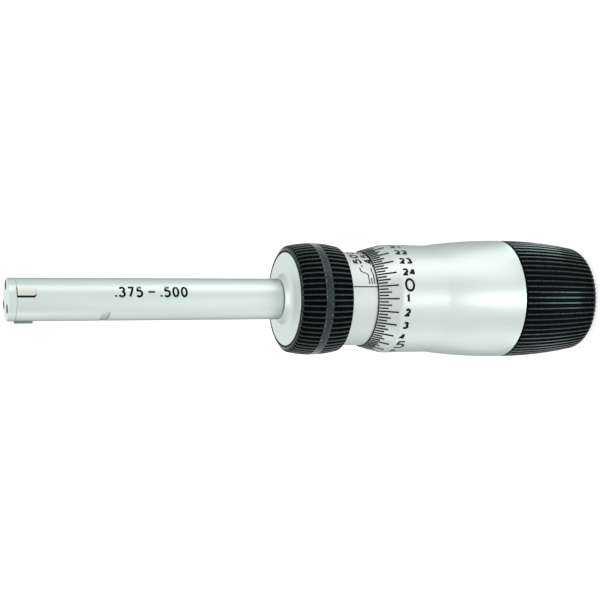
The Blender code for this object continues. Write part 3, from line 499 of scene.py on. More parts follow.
def moulded_grip(name, colours):
    """Black moulding: crests that hands have rubbed grey, grooves painted near-black and nearly
    unreflecting as painted shade, and painted highlights where the crest value passes 1.
    """
    material, tree = blank_material(name)
    where = node(tree, "ShaderNodeTexCoord").outputs["Object"]
    crest = node(tree, "ShaderNodeAttribute", attribute_name="crest").outputs["Fac"]
    speckle = node(tree, "ShaderNodeTexNoise", {"Vector": where},
                   {"Scale": scale_of(0.5 * MM), "Detail": 3.0, "Roughness": 0.7})
    wear = node(tree, "ShaderNodeMapRange", {"Value": speckle},
                {"From Min": 0.42, "From Max": 0.64, "To Min": 0.0, "To Max": 4.0})
    wear_shade_and_glint = node(tree, "ShaderNodeMath", {0: crest, 1: wear}, operation="MULTIPLY")
    # From the grooves' black, a painted shade, to the rubbed grey of the crests, and past it as a
    # painted highlight where the flutes end
    tint = node(tree, "ShaderNodeMix", {"Factor": wear_shade_and_glint},
                {"A": opaque(colours.grip), "B": opaque(colours.crest)},
                data_type="RGBA", clamp_factor=False)
    gloss = node(tree, "ShaderNodeMapRange", {"Value": speckle}, {"To Min": 0.12, "To Max": 0.4})
    relief = node(tree, "ShaderNodeBump", {"Height": speckle},
                  {"Strength": 0.6, "Distance": 0.04 * MM})
    # In the grooves the reflection drops almost to nothing: painted shade of their depths
    sheen = node(tree, "ShaderNodeMapRange", {"Value": crest},
                 {"From Min": 0.5, "To Min": 0.01, "To Max": 0.33})
    shader = node(tree, "ShaderNodeBsdfPrincipled",
                  {"Base Color": tint, "Roughness": gloss, "Specular IOR Level": sheen,
                   "Normal": relief}, {"IOR": 1.5, "Specular Tint": (0.74, 0.98, 1.0, 1.0)})
    node(tree, "ShaderNodeOutputMaterial", {"Surface": shader})
    return material


def enamel_ink(name, colours):
    """Black enamel rubbed into the engraving: dull, with a little metal showing through."""
    material, tree = blank_material(name)
    where = node(tree, "ShaderNodeTexCoord").outputs["Object"]
    grain = node(tree, "ShaderNodeTexNoise", {"Vector": where}, {"Scale": scale_of(0.1 * MM)})
    tint = node(tree, "ShaderNodeMix", {"Factor": grain},
                {"A": opaque(colours.ink), "B": opaque(colours.ink, 1.8)}, data_type="RGBA")
    shader = node(tree, "ShaderNodeBsdfPrincipled", {"Base Color": tint},
                  {"Roughness": 0.4, "IOR": 1.5, "Specular IOR Level": 0.08})
    node(tree, "ShaderNodeOutputMaterial", {"Surface": shader})
    return material


OTHER_MATERIALS = {
    "lapped_steel": lapped_steel,
    "moulded_black_grip": moulded_grip,
    "black_enamel_fill": enamel_ink,
}


def material_named(name):
    """The material of that name, made when it is first asked for."""
    make = OTHER_MATERIALS.get(name, metal)
    found = bpy.data.materials.get(name)
    return found or make(name, bpy.context.scene.micrometer_colours)


def on_tool(radius, turn, height):
    """Point at a radius and a height, turned from the front towards +X by a number of degrees."""
    angle = math.radians(turn)
    return Vector((radius * math.sin(angle), -radius * math.cos(angle), height))


def facing(turn):
    """Rotation that takes +X to a turn from the front."""
    return Matrix.Rotation(math.radians(turn - 90), 4, "Z")


def new_object(name, data):
    thing = bpy.data.objects.new(name, data)
    bpy.context.scene.collection.objects.link(thing)
    return thing


def shade(mesh):
    mesh.shade_smooth()
    mesh.set_sharp_from_angle(angle=math.radians(SHARP_ANGLE))


def plain_mesh(name, bm):
    mesh = bpy.data.meshes.new(name)
    bm.to_mesh(mesh)
    bm.free()
    return mesh


def mesh_of(name, bm):
    """Mesh with its doubles merged and its faces turned outwards, shaded smooth between edges."""
    bmesh.ops.remove_doubles(bm, verts=bm.verts, dist=1e-7)
    bmesh.ops.recalc_face_normals(bm, faces=bm.faces)
    mesh = plain_mesh(name, bm)
    shade(mesh)
    return mesh


def skin(bm, rings, caps=True):
    """Faces from each ring of corners to the next, and over both ends."""
    for ring, beyond in zip(rings, rings[1:]):
        for index, corner in enumerate(ring):
            after = (index + 1) % len(ring)
            corners = (corner, ring[after], beyond[after], beyond[index])
            bm.faces.new(list(dict.fromkeys(corners)))
    if caps:
        bm.faces.new(rings[0])
        bm.faces.new(rings[-1])


def settle(thing):
    """Turn an object's modifiers into its plain mesh."""
    graph = bpy.context.evaluated_depsgraph_get()
    mesh = bpy.data.meshes.new_from_object(thing.evaluated_get(graph))
    thing.modifiers.clear()
    thing.data = mesh
    return thing


def moved(thing, matrix):
    """Put a matrix into an object's mesh."""
    thing.data.transform(matrix)
    return thing


def finish_piece(thing, body, nodes, material):
    """Give a piece its material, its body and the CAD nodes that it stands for."""
    thing.data.materials.clear()
    thing.data.materials.append(material_named(material))
    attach(thing, body)
    if nodes:
        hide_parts(*nodes)


def eased(corners):
    """Section with its corners rounded: each corner is (radius, height), and a third value is
    the size of its rounding."""
    points = []
    for index, corner in enumerate(corners):
        here = Vector(corner[:2])
        if len(corner) < 3:
            points.append(tuple(here))
            continue
        before = Vector(corners[index - 1][:2])
        after = Vector(corners[(index + 1) % len(corners)][:2])
        start = here + (before - here).normalized() * corner[2]
        end = here + (after - here).normalized() * corner[2]
        for step in range(EASE_STEPS + 1):
            share = step / EASE_STEPS
            point = start * (1 - share) ** 2 + here * 2 * share * (1 - share) + end * share ** 2
            points.append(tuple(point))
    return points


def turned(name, section, steps=TURN_STEPS):
    """Section of (radius, height) points turned to a ring round the axis, or solid if it ends on it."""
    bm = bmesh.new()
    rings = []
    for radius, height in section:
        if radius == 0:
            rings.append([bm.verts.new((0, 0, height))] * steps)
        else:
            rings.append([bm.verts.new(on_tool(radius, 360 * step / steps, height))
                          for step in range(steps)])
    if section[0][0] > 0:
        rings.append(rings[0])
    skin(bm, rings, caps=False)
    return new_object(name, mesh_of(name, bm))


def cut(piece, cutters):
    """Cut the cutters out of a piece, and remove them."""
    for cutter in cutters:
        boolean = piece.modifiers.new(cutter.name, "BOOLEAN")
        boolean.operation = "DIFFERENCE"
        boolean.solver = "EXACT"
        boolean.object = cutter
    bpy.context.view_layer.update()
    settle(piece)
    for cutter in cutters:
        bpy.data.objects.remove(cutter, do_unlink=True)
    shade(piece.data)


def pad(name, width, foot, top, corner, inner, outer, steps=10):
    """Block on the +X side, square at the top and rounded at its foot.

    Its inside lies at a radius, and outer gives how far it reaches at a place across it.
    """
    bm = bmesh.new()
    half = width / 2
    columns = []
    for step in range(-steps, steps + 1):
        across = half * math.sin(math.pi / 2 * step / steps)
        into = max(0.0, abs(across) - (half - corner))
        low = foot + corner - math.sqrt(max(0.0, corner ** 2 - into ** 2))
        reach = outer(across)
        loop = ((inner, top), (reach, top), (reach, low), (inner, low))
        columns.append([bm.verts.new((x, across, z)) for x, z in loop])
    skin(bm, columns)
    return new_object(name, mesh_of(name, bm))


def block(name, size, matrix):
    """Box about its centre, set by a matrix."""
    bm = bmesh.new()
    bmesh.ops.create_cube(bm, size=1.0)
    bmesh.ops.transform(bm, matrix=matrix @ Matrix.Diagonal((*size, 1)), verts=bm.verts)
    return new_object(name, mesh_of(name, bm))


def head_tube():
    """Slim tube with three anvil slots, screw holes and a spanner notch."""
    foot = BOSS_TOP + TUBE_LIFT
    bore_floor = TUBE_TOP - HEAD_BORE_DEPTH
    tube = turned("head_tube_ground", eased((
        (TUBE_RADIUS, TUBE_TOP, 0.04 * MM),
        (TUBE_RADIUS, foot, 0.06 * MM),
        (SHANK_RADIUS, foot),
        (SHANK_RADIUS, SHANK_FOOT),
        (TUBE_BORE, SHANK_FOOT),
        (TUBE_BORE, bore_floor),
        (HEAD_BORE, bore_floor),
        (HEAD_BORE, TUBE_TOP - HEAD_MOUTH_DEPTH),
        (HEAD_MOUTH, TUBE_TOP),
    )))
    cutters = []
    for number, turn in enumerate(ANVIL_TURNS, 1):
        slot = pad(f"anvil_slot_{number}", ANVIL_WIDTH + SLOT_PLAY,
                   TUBE_TOP - ANVIL_LENGTH - RUNNING_GAP, TIP, ANVIL_CORNER, TUBE_BORE / 3,
                   lambda across: 2 * TUBE_RADIUS)
        aside = Vector((0, SLOT_CLOSE_SIDE - SLOT_PLAY / 2, 0))
        cutters.append(moved(slot, facing(turn) @ Matrix.Translation(aside)))
    floor_height = SCREW_FOOT - FIT
    for number, turn in enumerate(SCREW_TURNS, 1):
        hole = turned(f"screw_hole_{number}", (
            (0, TIP), (TUBE_HOLE_RADIUS, TIP), (TUBE_HOLE_RADIUS, floor_height),
            (0, floor_height)), HOLE_STEPS)
        cutters.append(moved(hole, Matrix.Translation(on_tool(SCREW_CIRCLE, turn, 0))))
    middle = Vector((1.5 * TUBE_RADIUS - NOTCH_DEPTH, 0, TUBE_TOP - NOTCH_FROM_END))
    cutters.append(block("spanner_notch", (TUBE_RADIUS, 2 * TUBE_RADIUS, NOTCH_WIDTH),
                         facing(NOTCH_TURN) @ Matrix.Translation(middle)))
    cut(tube, cutters)
    finish_piece(tube, "frame", ["head_tube"], "ground_steel")


def nose_plate():
    """End plate with a chamfered rim and three sunk screw wells."""
    face = TIP - PLATE_DROP
    foot = TUBE_TOP + PLATE_GAP
    plate = turned("nose_plate_ground", eased((
        (0, face),
        (TUBE_RADIUS - PLATE_CHAMFER, face, 0.1 * MM),
        (TUBE_RADIUS, face - PLATE_CHAMFER_DROP, 0.06 * MM),
        (TUBE_RADIUS, foot, 0.04 * MM),
        (HEAD_MOUTH, foot),
        (HEAD_MOUTH, TIP - PLATE_THICKNESS),
        (0, TIP - PLATE_THICKNESS),
    )))
    head_foot = SCREW_TOP - SCREW_HEAD_HEIGHT - SEAT_GAP
    cutters = []
    for number, turn in enumerate(SCREW_TURNS, 1):
        well = turned(f"screw_well_{number}", (
            (0, TIP + MM), (WELL_RADIUS, TIP + MM), (WELL_RADIUS, head_foot),
            (PLATE_HOLE_RADIUS, head_foot), (PLATE_HOLE_RADIUS, TUBE_TOP), (0, TUBE_TOP)),
            SCREW_STEPS)
        cutters.append(moved(well, Matrix.Translation(on_tool(SCREW_CIRCLE, turn, 0))))
    cut(plate, cutters)
    finish_piece(plate, "frame", ["nose_plate"], "ground_steel")


def nose_screw(number, turn):
    """Small cheese-head screw, sunk in the end plate."""
    top = TIP - SCREW_DROP
    foot = SCREW_TOP - SCREW_HEAD_HEIGHT
    screw = turned(f"nose_screw_turned_{number}", eased((
        (0, top), (SCREW_HEAD_RADIUS, top, 0.08 * MM), (SCREW_HEAD_RADIUS, foot),
        (SCREW_SHANK_RADIUS, foot), (SCREW_SHANK_RADIUS, SCREW_FOOT), (0, SCREW_FOOT))),
        SCREW_STEPS)
    slot = block(f"nose_screw_slot_{number}",
                 (4 * SCREW_HEAD_RADIUS, SCREW_SLOT_WIDTH, SCREW_SLOT_CUT),
                 Matrix.Translation((0, 0, top)))
    cut(screw, [slot])
    moved(screw, Matrix.Translation(on_tool(SCREW_CIRCLE, turn, 0))
          @ Matrix.Rotation(math.radians(turn), 4, "Z"))
    finish_piece(screw, "frame", [f"nose_screw_{number}"], "black_oxide_steel")


def anvil(number, turn):
    """Measuring anvil: a pad rounded at its foot, with a curved contact face."""
    crown_centre = ANVIL_REACH - CONTACT_RADIUS

    def crown(across):
        return crown_centre + math.sqrt(CONTACT_RADIUS ** 2 - across ** 2)

    body = pad(f"anvil_lapped_{number}", ANVIL_WIDTH, TUBE_TOP - ANVIL_LENGTH,
               TUBE_TOP - 0.04 * MM, ANVIL_CORNER, ANVIL_REACH - ANVIL_DEPTH, crown)
    bevel = body.modifiers.new("edges", "BEVEL")
    bevel.width = ANVIL_BEVEL
    bevel.segments = 2
    bevel.limit_method = "ANGLE"
    bevel.angle_limit = math.radians(BEVEL_ANGLE)
    bevel.harden_normals = True
    settle(body)
    moved(body, facing(turn))
    finish_piece(body, f"anvil_{number}", [f"anvil_{number}"], "lapped_steel")


def front_housing():
    """Flange with a conical boss that runs into its face, and the hub behind it."""
    boss_top = BOSS_TOP - BOSS_DROP
    housing = turned("front_housing_plated", eased((
        (BOSS_RADIUS, boss_top, 0.06 * MM),
        (BOSS_FOOT_RADIUS - 0.2 * MM, FACE + 0.5 * MM, 0.5 * MM),
        (BOSS_FOOT_RADIUS + BOSS_FILLET, FACE, 0.7 * MM),
        (FLANGE_RADIUS, FACE, 0.12 * MM),
        (FLANGE_RADIUS, FACE - FLANGE_THICKNESS),
        (HUB_RADIUS, FACE - FLANGE_THICKNESS),
        (HUB_RADIUS, HUB_FOOT),
        (CHAMBER_RADIUS, HUB_FOOT),
        (CHAMBER_RADIUS, SHANK_FOOT + SEAT_GAP),
        (SHANK_RADIUS + FIT, SHANK_FOOT + SEAT_GAP),
        (SHANK_RADIUS + FIT, boss_top),
    )))
    finish_piece(housing, "frame", ["front_housing"], "satin_chrome_plate")


def sleeve():
    """Plain tube that carries the datum line and the marks."""
    bore = SLEEVE_RADIUS - SLEEVE_WALL
    tube = turned("sleeve_plated", (
        (SLEEVE_RADIUS, SLEEVE_TOP), (SLEEVE_RADIUS, SLEEVE_FOOT),
        (bore, SLEEVE_FOOT), (bore, SLEEVE_TOP)))
    finish_piece(tube, "frame", ["sleeve"], "dull_chrome_plate")


def barrel(steps=24):
    """The thimble's barrel, an arc that meets the cap's joint parallel to the axis."""
    start = THIMBLE_TOP - BARREL_START
    points = []
    for step in range(steps + 1):
        share = step / steps
        swell = (THIMBLE_FOOT_RADIUS - THIMBLE_RADIUS) * (1 - share) ** 2
        points.append((THIMBLE_FOOT_RADIUS - swell, start - (start - THIMBLE_FOOT) * share))
    return points


def thimble():
    """Thimble with a bevelled front, a cylinder and a barrel that meets the cap."""
    skirt = THIMBLE_FOOT - SKIRT_LENGTH
    side = barrel()
    foot_radius = side[-1][0]
    shell = turned("thimble_plated", eased((
        (EDGE_RADIUS, THIMBLE_TOP, 0.03 * MM),
        (THIMBLE_RADIUS, THIMBLE_TOP - CONE_LENGTH, 0.5 * MM),
        *side[:-1],
        (foot_radius, skirt, 0.1 * MM),
        (foot_radius - SKIRT_WALL, skirt),
        (foot_radius - SKIRT_WALL, THIMBLE_FOOT),
        (SPIGOT_RADIUS, THIMBLE_FOOT),
        (SPIGOT_RADIUS, SPIGOT_FOOT),
        (RECESS_RADIUS, SPIGOT_FOOT),
        (RECESS_RADIUS, WEB_FOOT),
        (WEB_BORE, WEB_FOOT),
        (WEB_BORE, WEB_TOP),
        (THIMBLE_BORE, WEB_TOP),
        (THIMBLE_BORE, THIMBLE_TOP),
    )))
    finish_piece(shell, "thimble", ["thimble"], "satin_chrome_plate")


def new_tree(name, inputs):
    """Geometry node tree with an output and its named inputs, each with its default."""
    tree = bpy.data.node_groups.new(name, "GeometryNodeTree")
    tree.interface.new_socket(name="Geometry", in_out="INPUT", socket_type="NodeSocketGeometry")
    tree.interface.new_socket(name="Geometry", in_out="OUTPUT", socket_type="NodeSocketGeometry")
    for kind, label, value in inputs:
        socket = tree.interface.new_socket(name=label, in_out="INPUT", socket_type=kind)
        if value is not None:
            socket.default_value = value
    return tree, node(tree, "NodeGroupInput").outputs


def run_tree(thing, tree, values):
    """Set a node tree's inputs by their identifiers, and settle the object."""
    modifier = thing.modifiers.new(tree.name, "NODES")
    modifier.node_group = tree
    identifiers = {item.name: item.identifier for item in tree.interface.items_tree
                   if item.item_type == "SOCKET" and item.in_out == "INPUT"}
    for name, value in values.items():
        modifier[identifiers[name]] = value
    return settle(thing)


def ring_tree():
    """Copies of one section turned round the tool's axis and merged to a closed ring."""
    tree, given = new_tree("ring_of_sections", (
        ("NodeSocketInt", "Count", 60),
        ("NodeSocketFloat", "Merge Distance", 0.001 * MM),
        ("NodeSocketMaterial", "Material", None)))
    points = node(tree, "GeometryNodePoints", {"Count": given["Count"]})
    index = node(tree, "GeometryNodeInputIndex")
    share = node(tree, "ShaderNodeMath", {0: index, 1: given["Count"]}, operation="DIVIDE")
    angle = node(tree, "ShaderNodeMath", {0: share}, {1: math.tau}, operation="MULTIPLY")
    turn = node(tree, "ShaderNodeCombineXYZ", {"Z": angle})
    copies = node(tree, "GeometryNodeInstanceOnPoints",
                  {"Points": points, "Instance": given["Geometry"], "Rotation": turn})
    real = node(tree, "GeometryNodeRealizeInstances", {"Geometry": copies})
    closed = node(tree, "GeometryNodeMergeByDistance",
                  {"Geometry": real, "Distance": given["Merge Distance"]})
    painted = node(tree, "GeometryNodeSetMaterial",
                   {"Geometry": closed, "Material": given["Material"]})
    node(tree, "NodeGroupOutput", {"Geometry": painted})
    return tree


def run_lengths(profile):
    """Distance of each place of a profile from its start, measured along it."""
    lengths = [0.0]
    for before, after in zip(profile, profile[1:]):
        lengths.append(lengths[-1] + (Vector(after) - Vector(before)).length)
    return lengths


def section_mesh(name, outside, inside, count, groove, depth, lead, shaded_from):
    """One pitch of a ridged ring, open at its two sides.

    The outside is a list of (radius, height) down the outer side, which the grooves cut along
    its normal, and the inside closes the section. The groove function gives the depth at a
    place across and along, and its middle lies a share of a pitch ahead of the front. The crest
    attribute is 1 on a crest and 0 at a groove's floor, where the grip paints shade; beside a
    groove's steep end it passes 1 as a painted highlight. Past shaded_from the ends of the grooves
    are painted with the grooves' black as painted shade.
    """
    bm = bmesh.new()
    crest = bm.verts.layers.float.new("crest")
    across = [-share for share in reversed(COLUMNS[1:])] + list(COLUMNS)
    turns = [360 * (share + lead) / count for share in across]
    runs = run_lengths(outside)
    sunk = []
    for (radius, height), run in zip(outside, runs):
        pitch = math.tau * radius / count
        sunk.append([groove(abs(share) * pitch, run, pitch) for share in across])
    rows = []
    for index, (radius, height) in enumerate(outside):
        beside = (max(index - 1, 0), min(index + 1, len(outside) - 1))
        before, after = (Vector(outside[other]) for other in beside)
        tangent = (after - before).normalized()
        middle = sunk[index][len(across) // 2]
        row = []
        for place, share in enumerate(across):
            drop = sunk[index][place]
            # Beside a groove's steep end the crest gets a painted highlight, many times the rubbed grey
            steep = any(sunk[other][place] > abs(runs[other] - runs[index]) for other in beside)
            glint = EDGE_GLINT if drop == 0 and steep else 0.0
            if drop == 0:
                up_crest = (abs(share) - CREST_START) / (0.5 - CREST_START)
                drop = CREST_ROUND * middle * max(0.0, 1 - up_crest) ** 2
            vert = bm.verts.new(on_tool(radius + drop * tangent.y, turns[place],
                                        height - drop * tangent.x))
            # Near the rear edge each column takes its groove's black and loses its highlight: painted
            # shade
            if runs[index] > shaded_from:
                drop = max(line[place] for line in sunk)
                glint = 0.0
            vert[crest] = 1 - drop / depth + glint
            row.append(vert)
        rows.append(row)
    for radius, height in inside:
        rows.append([bm.verts.new(on_tool(radius, turn, height)) for turn in turns])
    for upper, lower in zip(rows, rows[1:] + rows[:1]):
        for index in range(len(across) - 1):
            bm.faces.new((upper[index], upper[index + 1], lower[index + 1], lower[index]))
    return plain_mesh(name, bm)


def scooped(inside_edge, wall):
    """Share of a groove's depth at a distance inside its edge, with a rounded foot."""
    if inside_edge <= 0:
        return 0.0
    if inside_edge >= wall:
        return 1.0
    return math.sqrt(1 - (1 - inside_edge / wall) ** 2)


def ridged_ring(name, outside, inside, count, groove, depth, lead, shaded_from=math.inf):
    """Closed ridged ring from one section, by geometry nodes."""
    section = new_object(name, section_mesh(name, outside, inside, count, groove, depth, lead,
                                            shaded_from))
    tree = bpy.data.node_groups.get("ring_of_sections") or ring_tree()
    ring = run_tree(section, tree, {"Count": count,
                                    "Material": material_named("moulded_black_grip")})
    bm = bmesh.new()
    bm.from_mesh(ring.data)
    bmesh.ops.recalc_face_normals(bm, faces=bm.faces)
    bm.to_mesh(ring.data)
    bm.free()
    shade(ring.data)
    return ring


def places_along(start, *stretches):
    """Places from a start through stretches, each with its end and about a step between places."""
    places = [start]
    for end, step in stretches:
        count = max(1, round(abs(end - start) / step))
        places += [start + (end - start) * index / count for index in range(1, count + 1)]
        start = end
    return places


def collar_radius(below_face):
    off_crown = below_face - COLLAR_CROWN_BELOW_FACE
    return COLLAR_RADIUS - off_crown ** 2 / (2 * COLLAR_SWEEP)


def grip_collar(sizes):
    """Crowned black collar with two bands of flutes and a plain band between them."""
    depth = sizes.flute_depth
    start = COLLAR_FRONT_CHAMFER
    rear = FACE - COLLAR_FOOT - COLLAR_REAR_CHAMFER
    front_radius = collar_radius(start) - COLLAR_FRONT_DROP
    places = places_along(
        start, (start + MM, 0.1 * MM),
        (PLAIN_BAND_START - 0.4 * MM, 0.5 * MM), (PLAIN_BAND_START, 0.06 * MM),
        (PLAIN_BAND_END, 0.4 * MM), (PLAIN_BAND_END + 0.4 * MM, 0.06 * MM),
        (rear - 0.5 * MM, 0.4 * MM), (rear, 0.06 * MM))
    chamfer = [(front_radius + COLLAR_FRONT_DROP * step / CHAMFER_STEPS,
                FACE - COLLAR_FRONT_CHAMFER * step / CHAMFER_STEPS)
               for step in range(CHAMFER_STEPS)]
    side = [(collar_radius(place), FACE - place) for place in places]
    outside = chamfer + side + [(collar_radius(rear) - COLLAR_REAR_DROP, COLLAR_FOOT)]
    runs = run_lengths(outside)
    start_run = runs[len(chamfer)]
    front_end = PLAIN_BAND_START - start
    rear_start = PLAIN_BAND_END - start
    rear_end = runs[-2] - start_run - REAR_RIM

    def groove(across, run, pitch):
        along = run - start_run
        half = FLUTE_SHARE * pitch / 2
        fade = 1.0
        if along < (front_end + rear_start) / 2:
            into_end = half - along - FLUTE_UP_CHAMFER
            inside = half - math.hypot(across, into_end) if into_end > 0 else half - across
            inside = min(inside, (front_end - along) * 2)
        else:
            inside = min(half - across, (along - rear_start) * 2)
            fade = min(1.0, max(0.0, rear_end - along) / REAR_FADE)
        return depth * scooped(inside, FLUTE_WALL) * math.sin(math.pi / 2 * fade)

    seat = FACE - FLANGE_THICKNESS - SEAT_GAP
    inside = [(HUB_RADIUS + FIT, COLLAR_FOOT), (HUB_RADIUS + FIT, seat),
              (FLANGE_RADIUS + FIT, seat), (FLANGE_RADIUS + FIT, FACE)]
    collar = ridged_ring("grip_collar_moulded", outside, inside, sizes.collar_flutes, groove,
                         depth, FLUTE_LEAD, shaded_from=runs[-2] - REAR_PAINTED_SHADE)
    finish_piece(collar, "frame", ["grip_collar"], "moulded_black_grip")


def cap_radius(below_rim):
    off_crown = below_rim - CAP_CROWN_BELOW_RIM
    return CAP_RADIUS - off_crown ** 2 / (2 * CAP_SWEEP)


def ratchet_cap(sizes):
    """Black cap whose ribs run from its rim over the rounded end."""
    depth = sizes.rib_depth
    corner_start = CAP_RIM - CAP_CORNER_LENGTH
    places = places_along(CAP_EDGE, (MM, 0.06 * MM), (corner_start, 0.8 * MM))
    outside = [(cap_radius(0) - CAP_EDGE, CAP_RIM)]
    outside += [(cap_radius(place), CAP_RIM - place) for place in places]
    for step in range(1, CAP_CORNER_STEPS + 1):
        turn = math.pi / 2 * step / CAP_CORNER_STEPS
        radius = cap_radius(corner_start) - CAP_CORNER_DROP * (1 - math.cos(turn))
        outside.append((radius, CAP_CORNER_LENGTH * (1 - math.sin(turn))))
    run_total = run_lengths(outside)[-1]

    def groove(across, run, pitch):
        half = RIB_GROOVE_SHARE * pitch / 2
        # The lip is sunk as deep as the grooves, so it takes their painted shade
        lip = min(1.0, max(0.0, 1 - (run - CAP_LIP) / CAP_LIP_WALL))
        fade = min(1.0, max(0.0, run_total - run - RIB_END) / RIB_FADE)
        return depth * max(lip, scooped(half - across, RIB_WALL) * math.sin(math.pi / 2 * fade))

    seat = SPIGOT_FOOT - SEAT_GAP
    inside = [(CAP_WELL_RADIUS + CAP_WELL_CHAMFER, 0), (CAP_WELL_RADIUS, CAP_WELL_CHAMFER),
              (CAP_WELL_RADIUS, CAP_WELL_DEPTH), (CAP_BORE, CAP_WELL_DEPTH),
              (CAP_BORE, CAP_WEB_TOP), (CAP_CHAMBER, CAP_WEB_TOP), (CAP_CHAMBER, seat),
              (CAP_SPIGOT_BORE, seat), (CAP_SPIGOT_BORE, CAP_RIM)]
    cap = ridged_ring("ratchet_cap_moulded", outside, inside, sizes.cap_ribs, groove, depth,
                      RIB_LEAD)
    finish_piece(cap, "ratchet_cap", ["ratchet_cap"], "moulded_black_grip")


def mark_strip(name, width, radius, length_cuts=6):
    """Thin strip one unit long below the XY plane, at one unit of radius on the +X side.

    Its width is the angle that it takes up at the given radius.
    """
    bm = bmesh.new()
    half = width / 2 / radius
    corners = ((INK_PROUD, -half), (INK_PROUD, half), (-INK_SUNK, half), (-INK_SUNK, -half))
    skin(bm, [[bm.verts.new((1 + x, y, -step / length_cuts)) for x, y in corners]
              for step in range(length_cuts + 1)])
    return new_object(name, mesh_of(name, bm))


def graduation_tree():
    """Marks round the thimble's bevel: a strip turned, stretched and laid on the surface."""
    tree, given = new_tree("thimble_marks", (
        ("NodeSocketInt", "Marks", THIMBLE_MARKS),
        ("NodeSocketFloat", "Turn of Zero", 0.0),
        ("NodeSocketFloat", "Long", LONG_MARK),
        ("NodeSocketFloat", "Medium", MEDIUM_MARK),
        ("NodeSocketFloat", "Short", SHORT_MARK),
        ("NodeSocketFloat", "Edge Height", 0.0),
        ("NodeSocketFloat", "Edge Radius", 0.0),
        ("NodeSocketFloat", "Slope", 0.0),
        ("NodeSocketMaterial", "Material", None)))
    points = node(tree, "GeometryNodePoints", {"Count": given["Marks"]})
    index = node(tree, "GeometryNodeInputIndex")
    share = node(tree, "ShaderNodeMath", {0: index, 1: given["Marks"]}, operation="DIVIDE")
    angle = node(tree, "ShaderNodeMath", {0: share, 2: given["Turn of Zero"]}, {1: -math.tau},
                 operation="MULTIPLY_ADD")
    turn = node(tree, "ShaderNodeCombineXYZ", {"Z": angle})
    quarter = node(tree, "ShaderNodeMath", {0: index}, {1: 4.0}, operation="MODULO")
    is_long = node(tree, "ShaderNodeMath", {0: quarter}, {1: 0.5}, operation="LESS_THAN")
    is_medium = node(tree, "ShaderNodeMath", {0: quarter}, {1: 2.0, 2: 0.1}, operation="COMPARE")
    shorter = node(tree, "GeometryNodeSwitch",
                   {"Switch": is_medium, "False": given["Short"], "True": given["Medium"]},
                   input_type="FLOAT")
    length = node(tree, "GeometryNodeSwitch",
                  {"Switch": is_long, "False": shorter, "True": given["Long"]},
                  input_type="FLOAT")
    stretch = node(tree, "ShaderNodeCombineXYZ", {"Z": length}, {"X": 1.0, "Y": 1.0})
    copies = node(tree, "GeometryNodeInstanceOnPoints",
                  {"Points": points, "Instance": given["Geometry"], "Rotation": turn,
                   "Scale": stretch})
    real = node(tree, "GeometryNodeRealizeInstances", {"Geometry": copies})
    place = node(tree, "GeometryNodeInputPosition")
    parts = node(tree, "ShaderNodeSeparateXYZ", {"Vector": place}).outputs
    flat = node(tree, "ShaderNodeCombineXYZ", {"X": parts["X"], "Y": parts["Y"]})
    out = node(tree, "ShaderNodeVectorMath", {0: flat}, operation="LENGTH")
    unit = node(tree, "ShaderNodeVectorMath", {0: flat}, operation="NORMALIZE")
    proud = node(tree, "ShaderNodeMath", {0: out}, {1: 1.0}, operation="SUBTRACT")
    surface = node(tree, "ShaderNodeMath",
                   {0: parts["Z"], 1: given["Slope"], 2: given["Edge Radius"]},
                   operation="MULTIPLY_ADD")
    reach = node(tree, "ShaderNodeMath", {0: surface, 1: proud}, operation="ADD")
    spread = node(tree, "ShaderNodeVectorMath", {0: unit, "Scale": reach}, operation="SCALE")
    height = node(tree, "ShaderNodeMath", {0: parts["Z"], 1: given["Edge Height"]},
                  operation="ADD")
    lift = node(tree, "ShaderNodeCombineXYZ", {"Z": height})
    target = node(tree, "ShaderNodeVectorMath", {0: spread, 1: lift}, operation="ADD")
    laid = node(tree, "GeometryNodeSetPosition", {"Geometry": real, "Position": target})
    painted = node(tree, "GeometryNodeSetMaterial",
                   {"Geometry": laid, "Material": given["Material"]})
    node(tree, "NodeGroupOutput", {"Geometry": painted})
    return tree


def thimble_edge_line():
    """Black ring on the thimble's end face: a painted shadow of the gap between thimble and sleeve,
    which reads as a thin dark line.
    """
    top = THIMBLE_TOP + GAP_SHADOW_PROUD
    foot = THIMBLE_TOP - GAP_SHADOW_LENGTH
    ring = turned("thimble_edge_line", (
        (SLEEVE_RADIUS + 0.05 * MM, top), (EDGE_RADIUS + 0.01 * MM, top),
        (EDGE_RADIUS + 0.05 * MM, foot), (EDGE_RADIUS - 0.05 * MM, foot)))
    finish_piece(ring, "thimble", [], "black_enamel_fill")


def thimble_graduations(sizes):
    """A hundred engraved marks: long at the numbers, medium half way and short at the quarters."""
    slope = -(THIMBLE_RADIUS - EDGE_RADIUS) / CONE_LENGTH
    strip = mark_strip("thimble_graduations", sizes.mark_width, EDGE_RADIUS)
    marks = run_tree(strip, graduation_tree(), {
        "Turn of Zero": math.radians(DATUM_TURN - 90), "Edge Height": THIMBLE_TOP - MARK_START,
        "Edge Radius": EDGE_RADIUS - slope * MARK_START, "Slope": slope,
        "Long": LONG_MARK - MARK_START, "Medium": MEDIUM_MARK - MARK_START,
        "Short": SHORT_MARK - MARK_START, "Material": material_named("black_enamel_fill")})
    finish_piece(marks, "thimble", [], "black_enamel_fill")


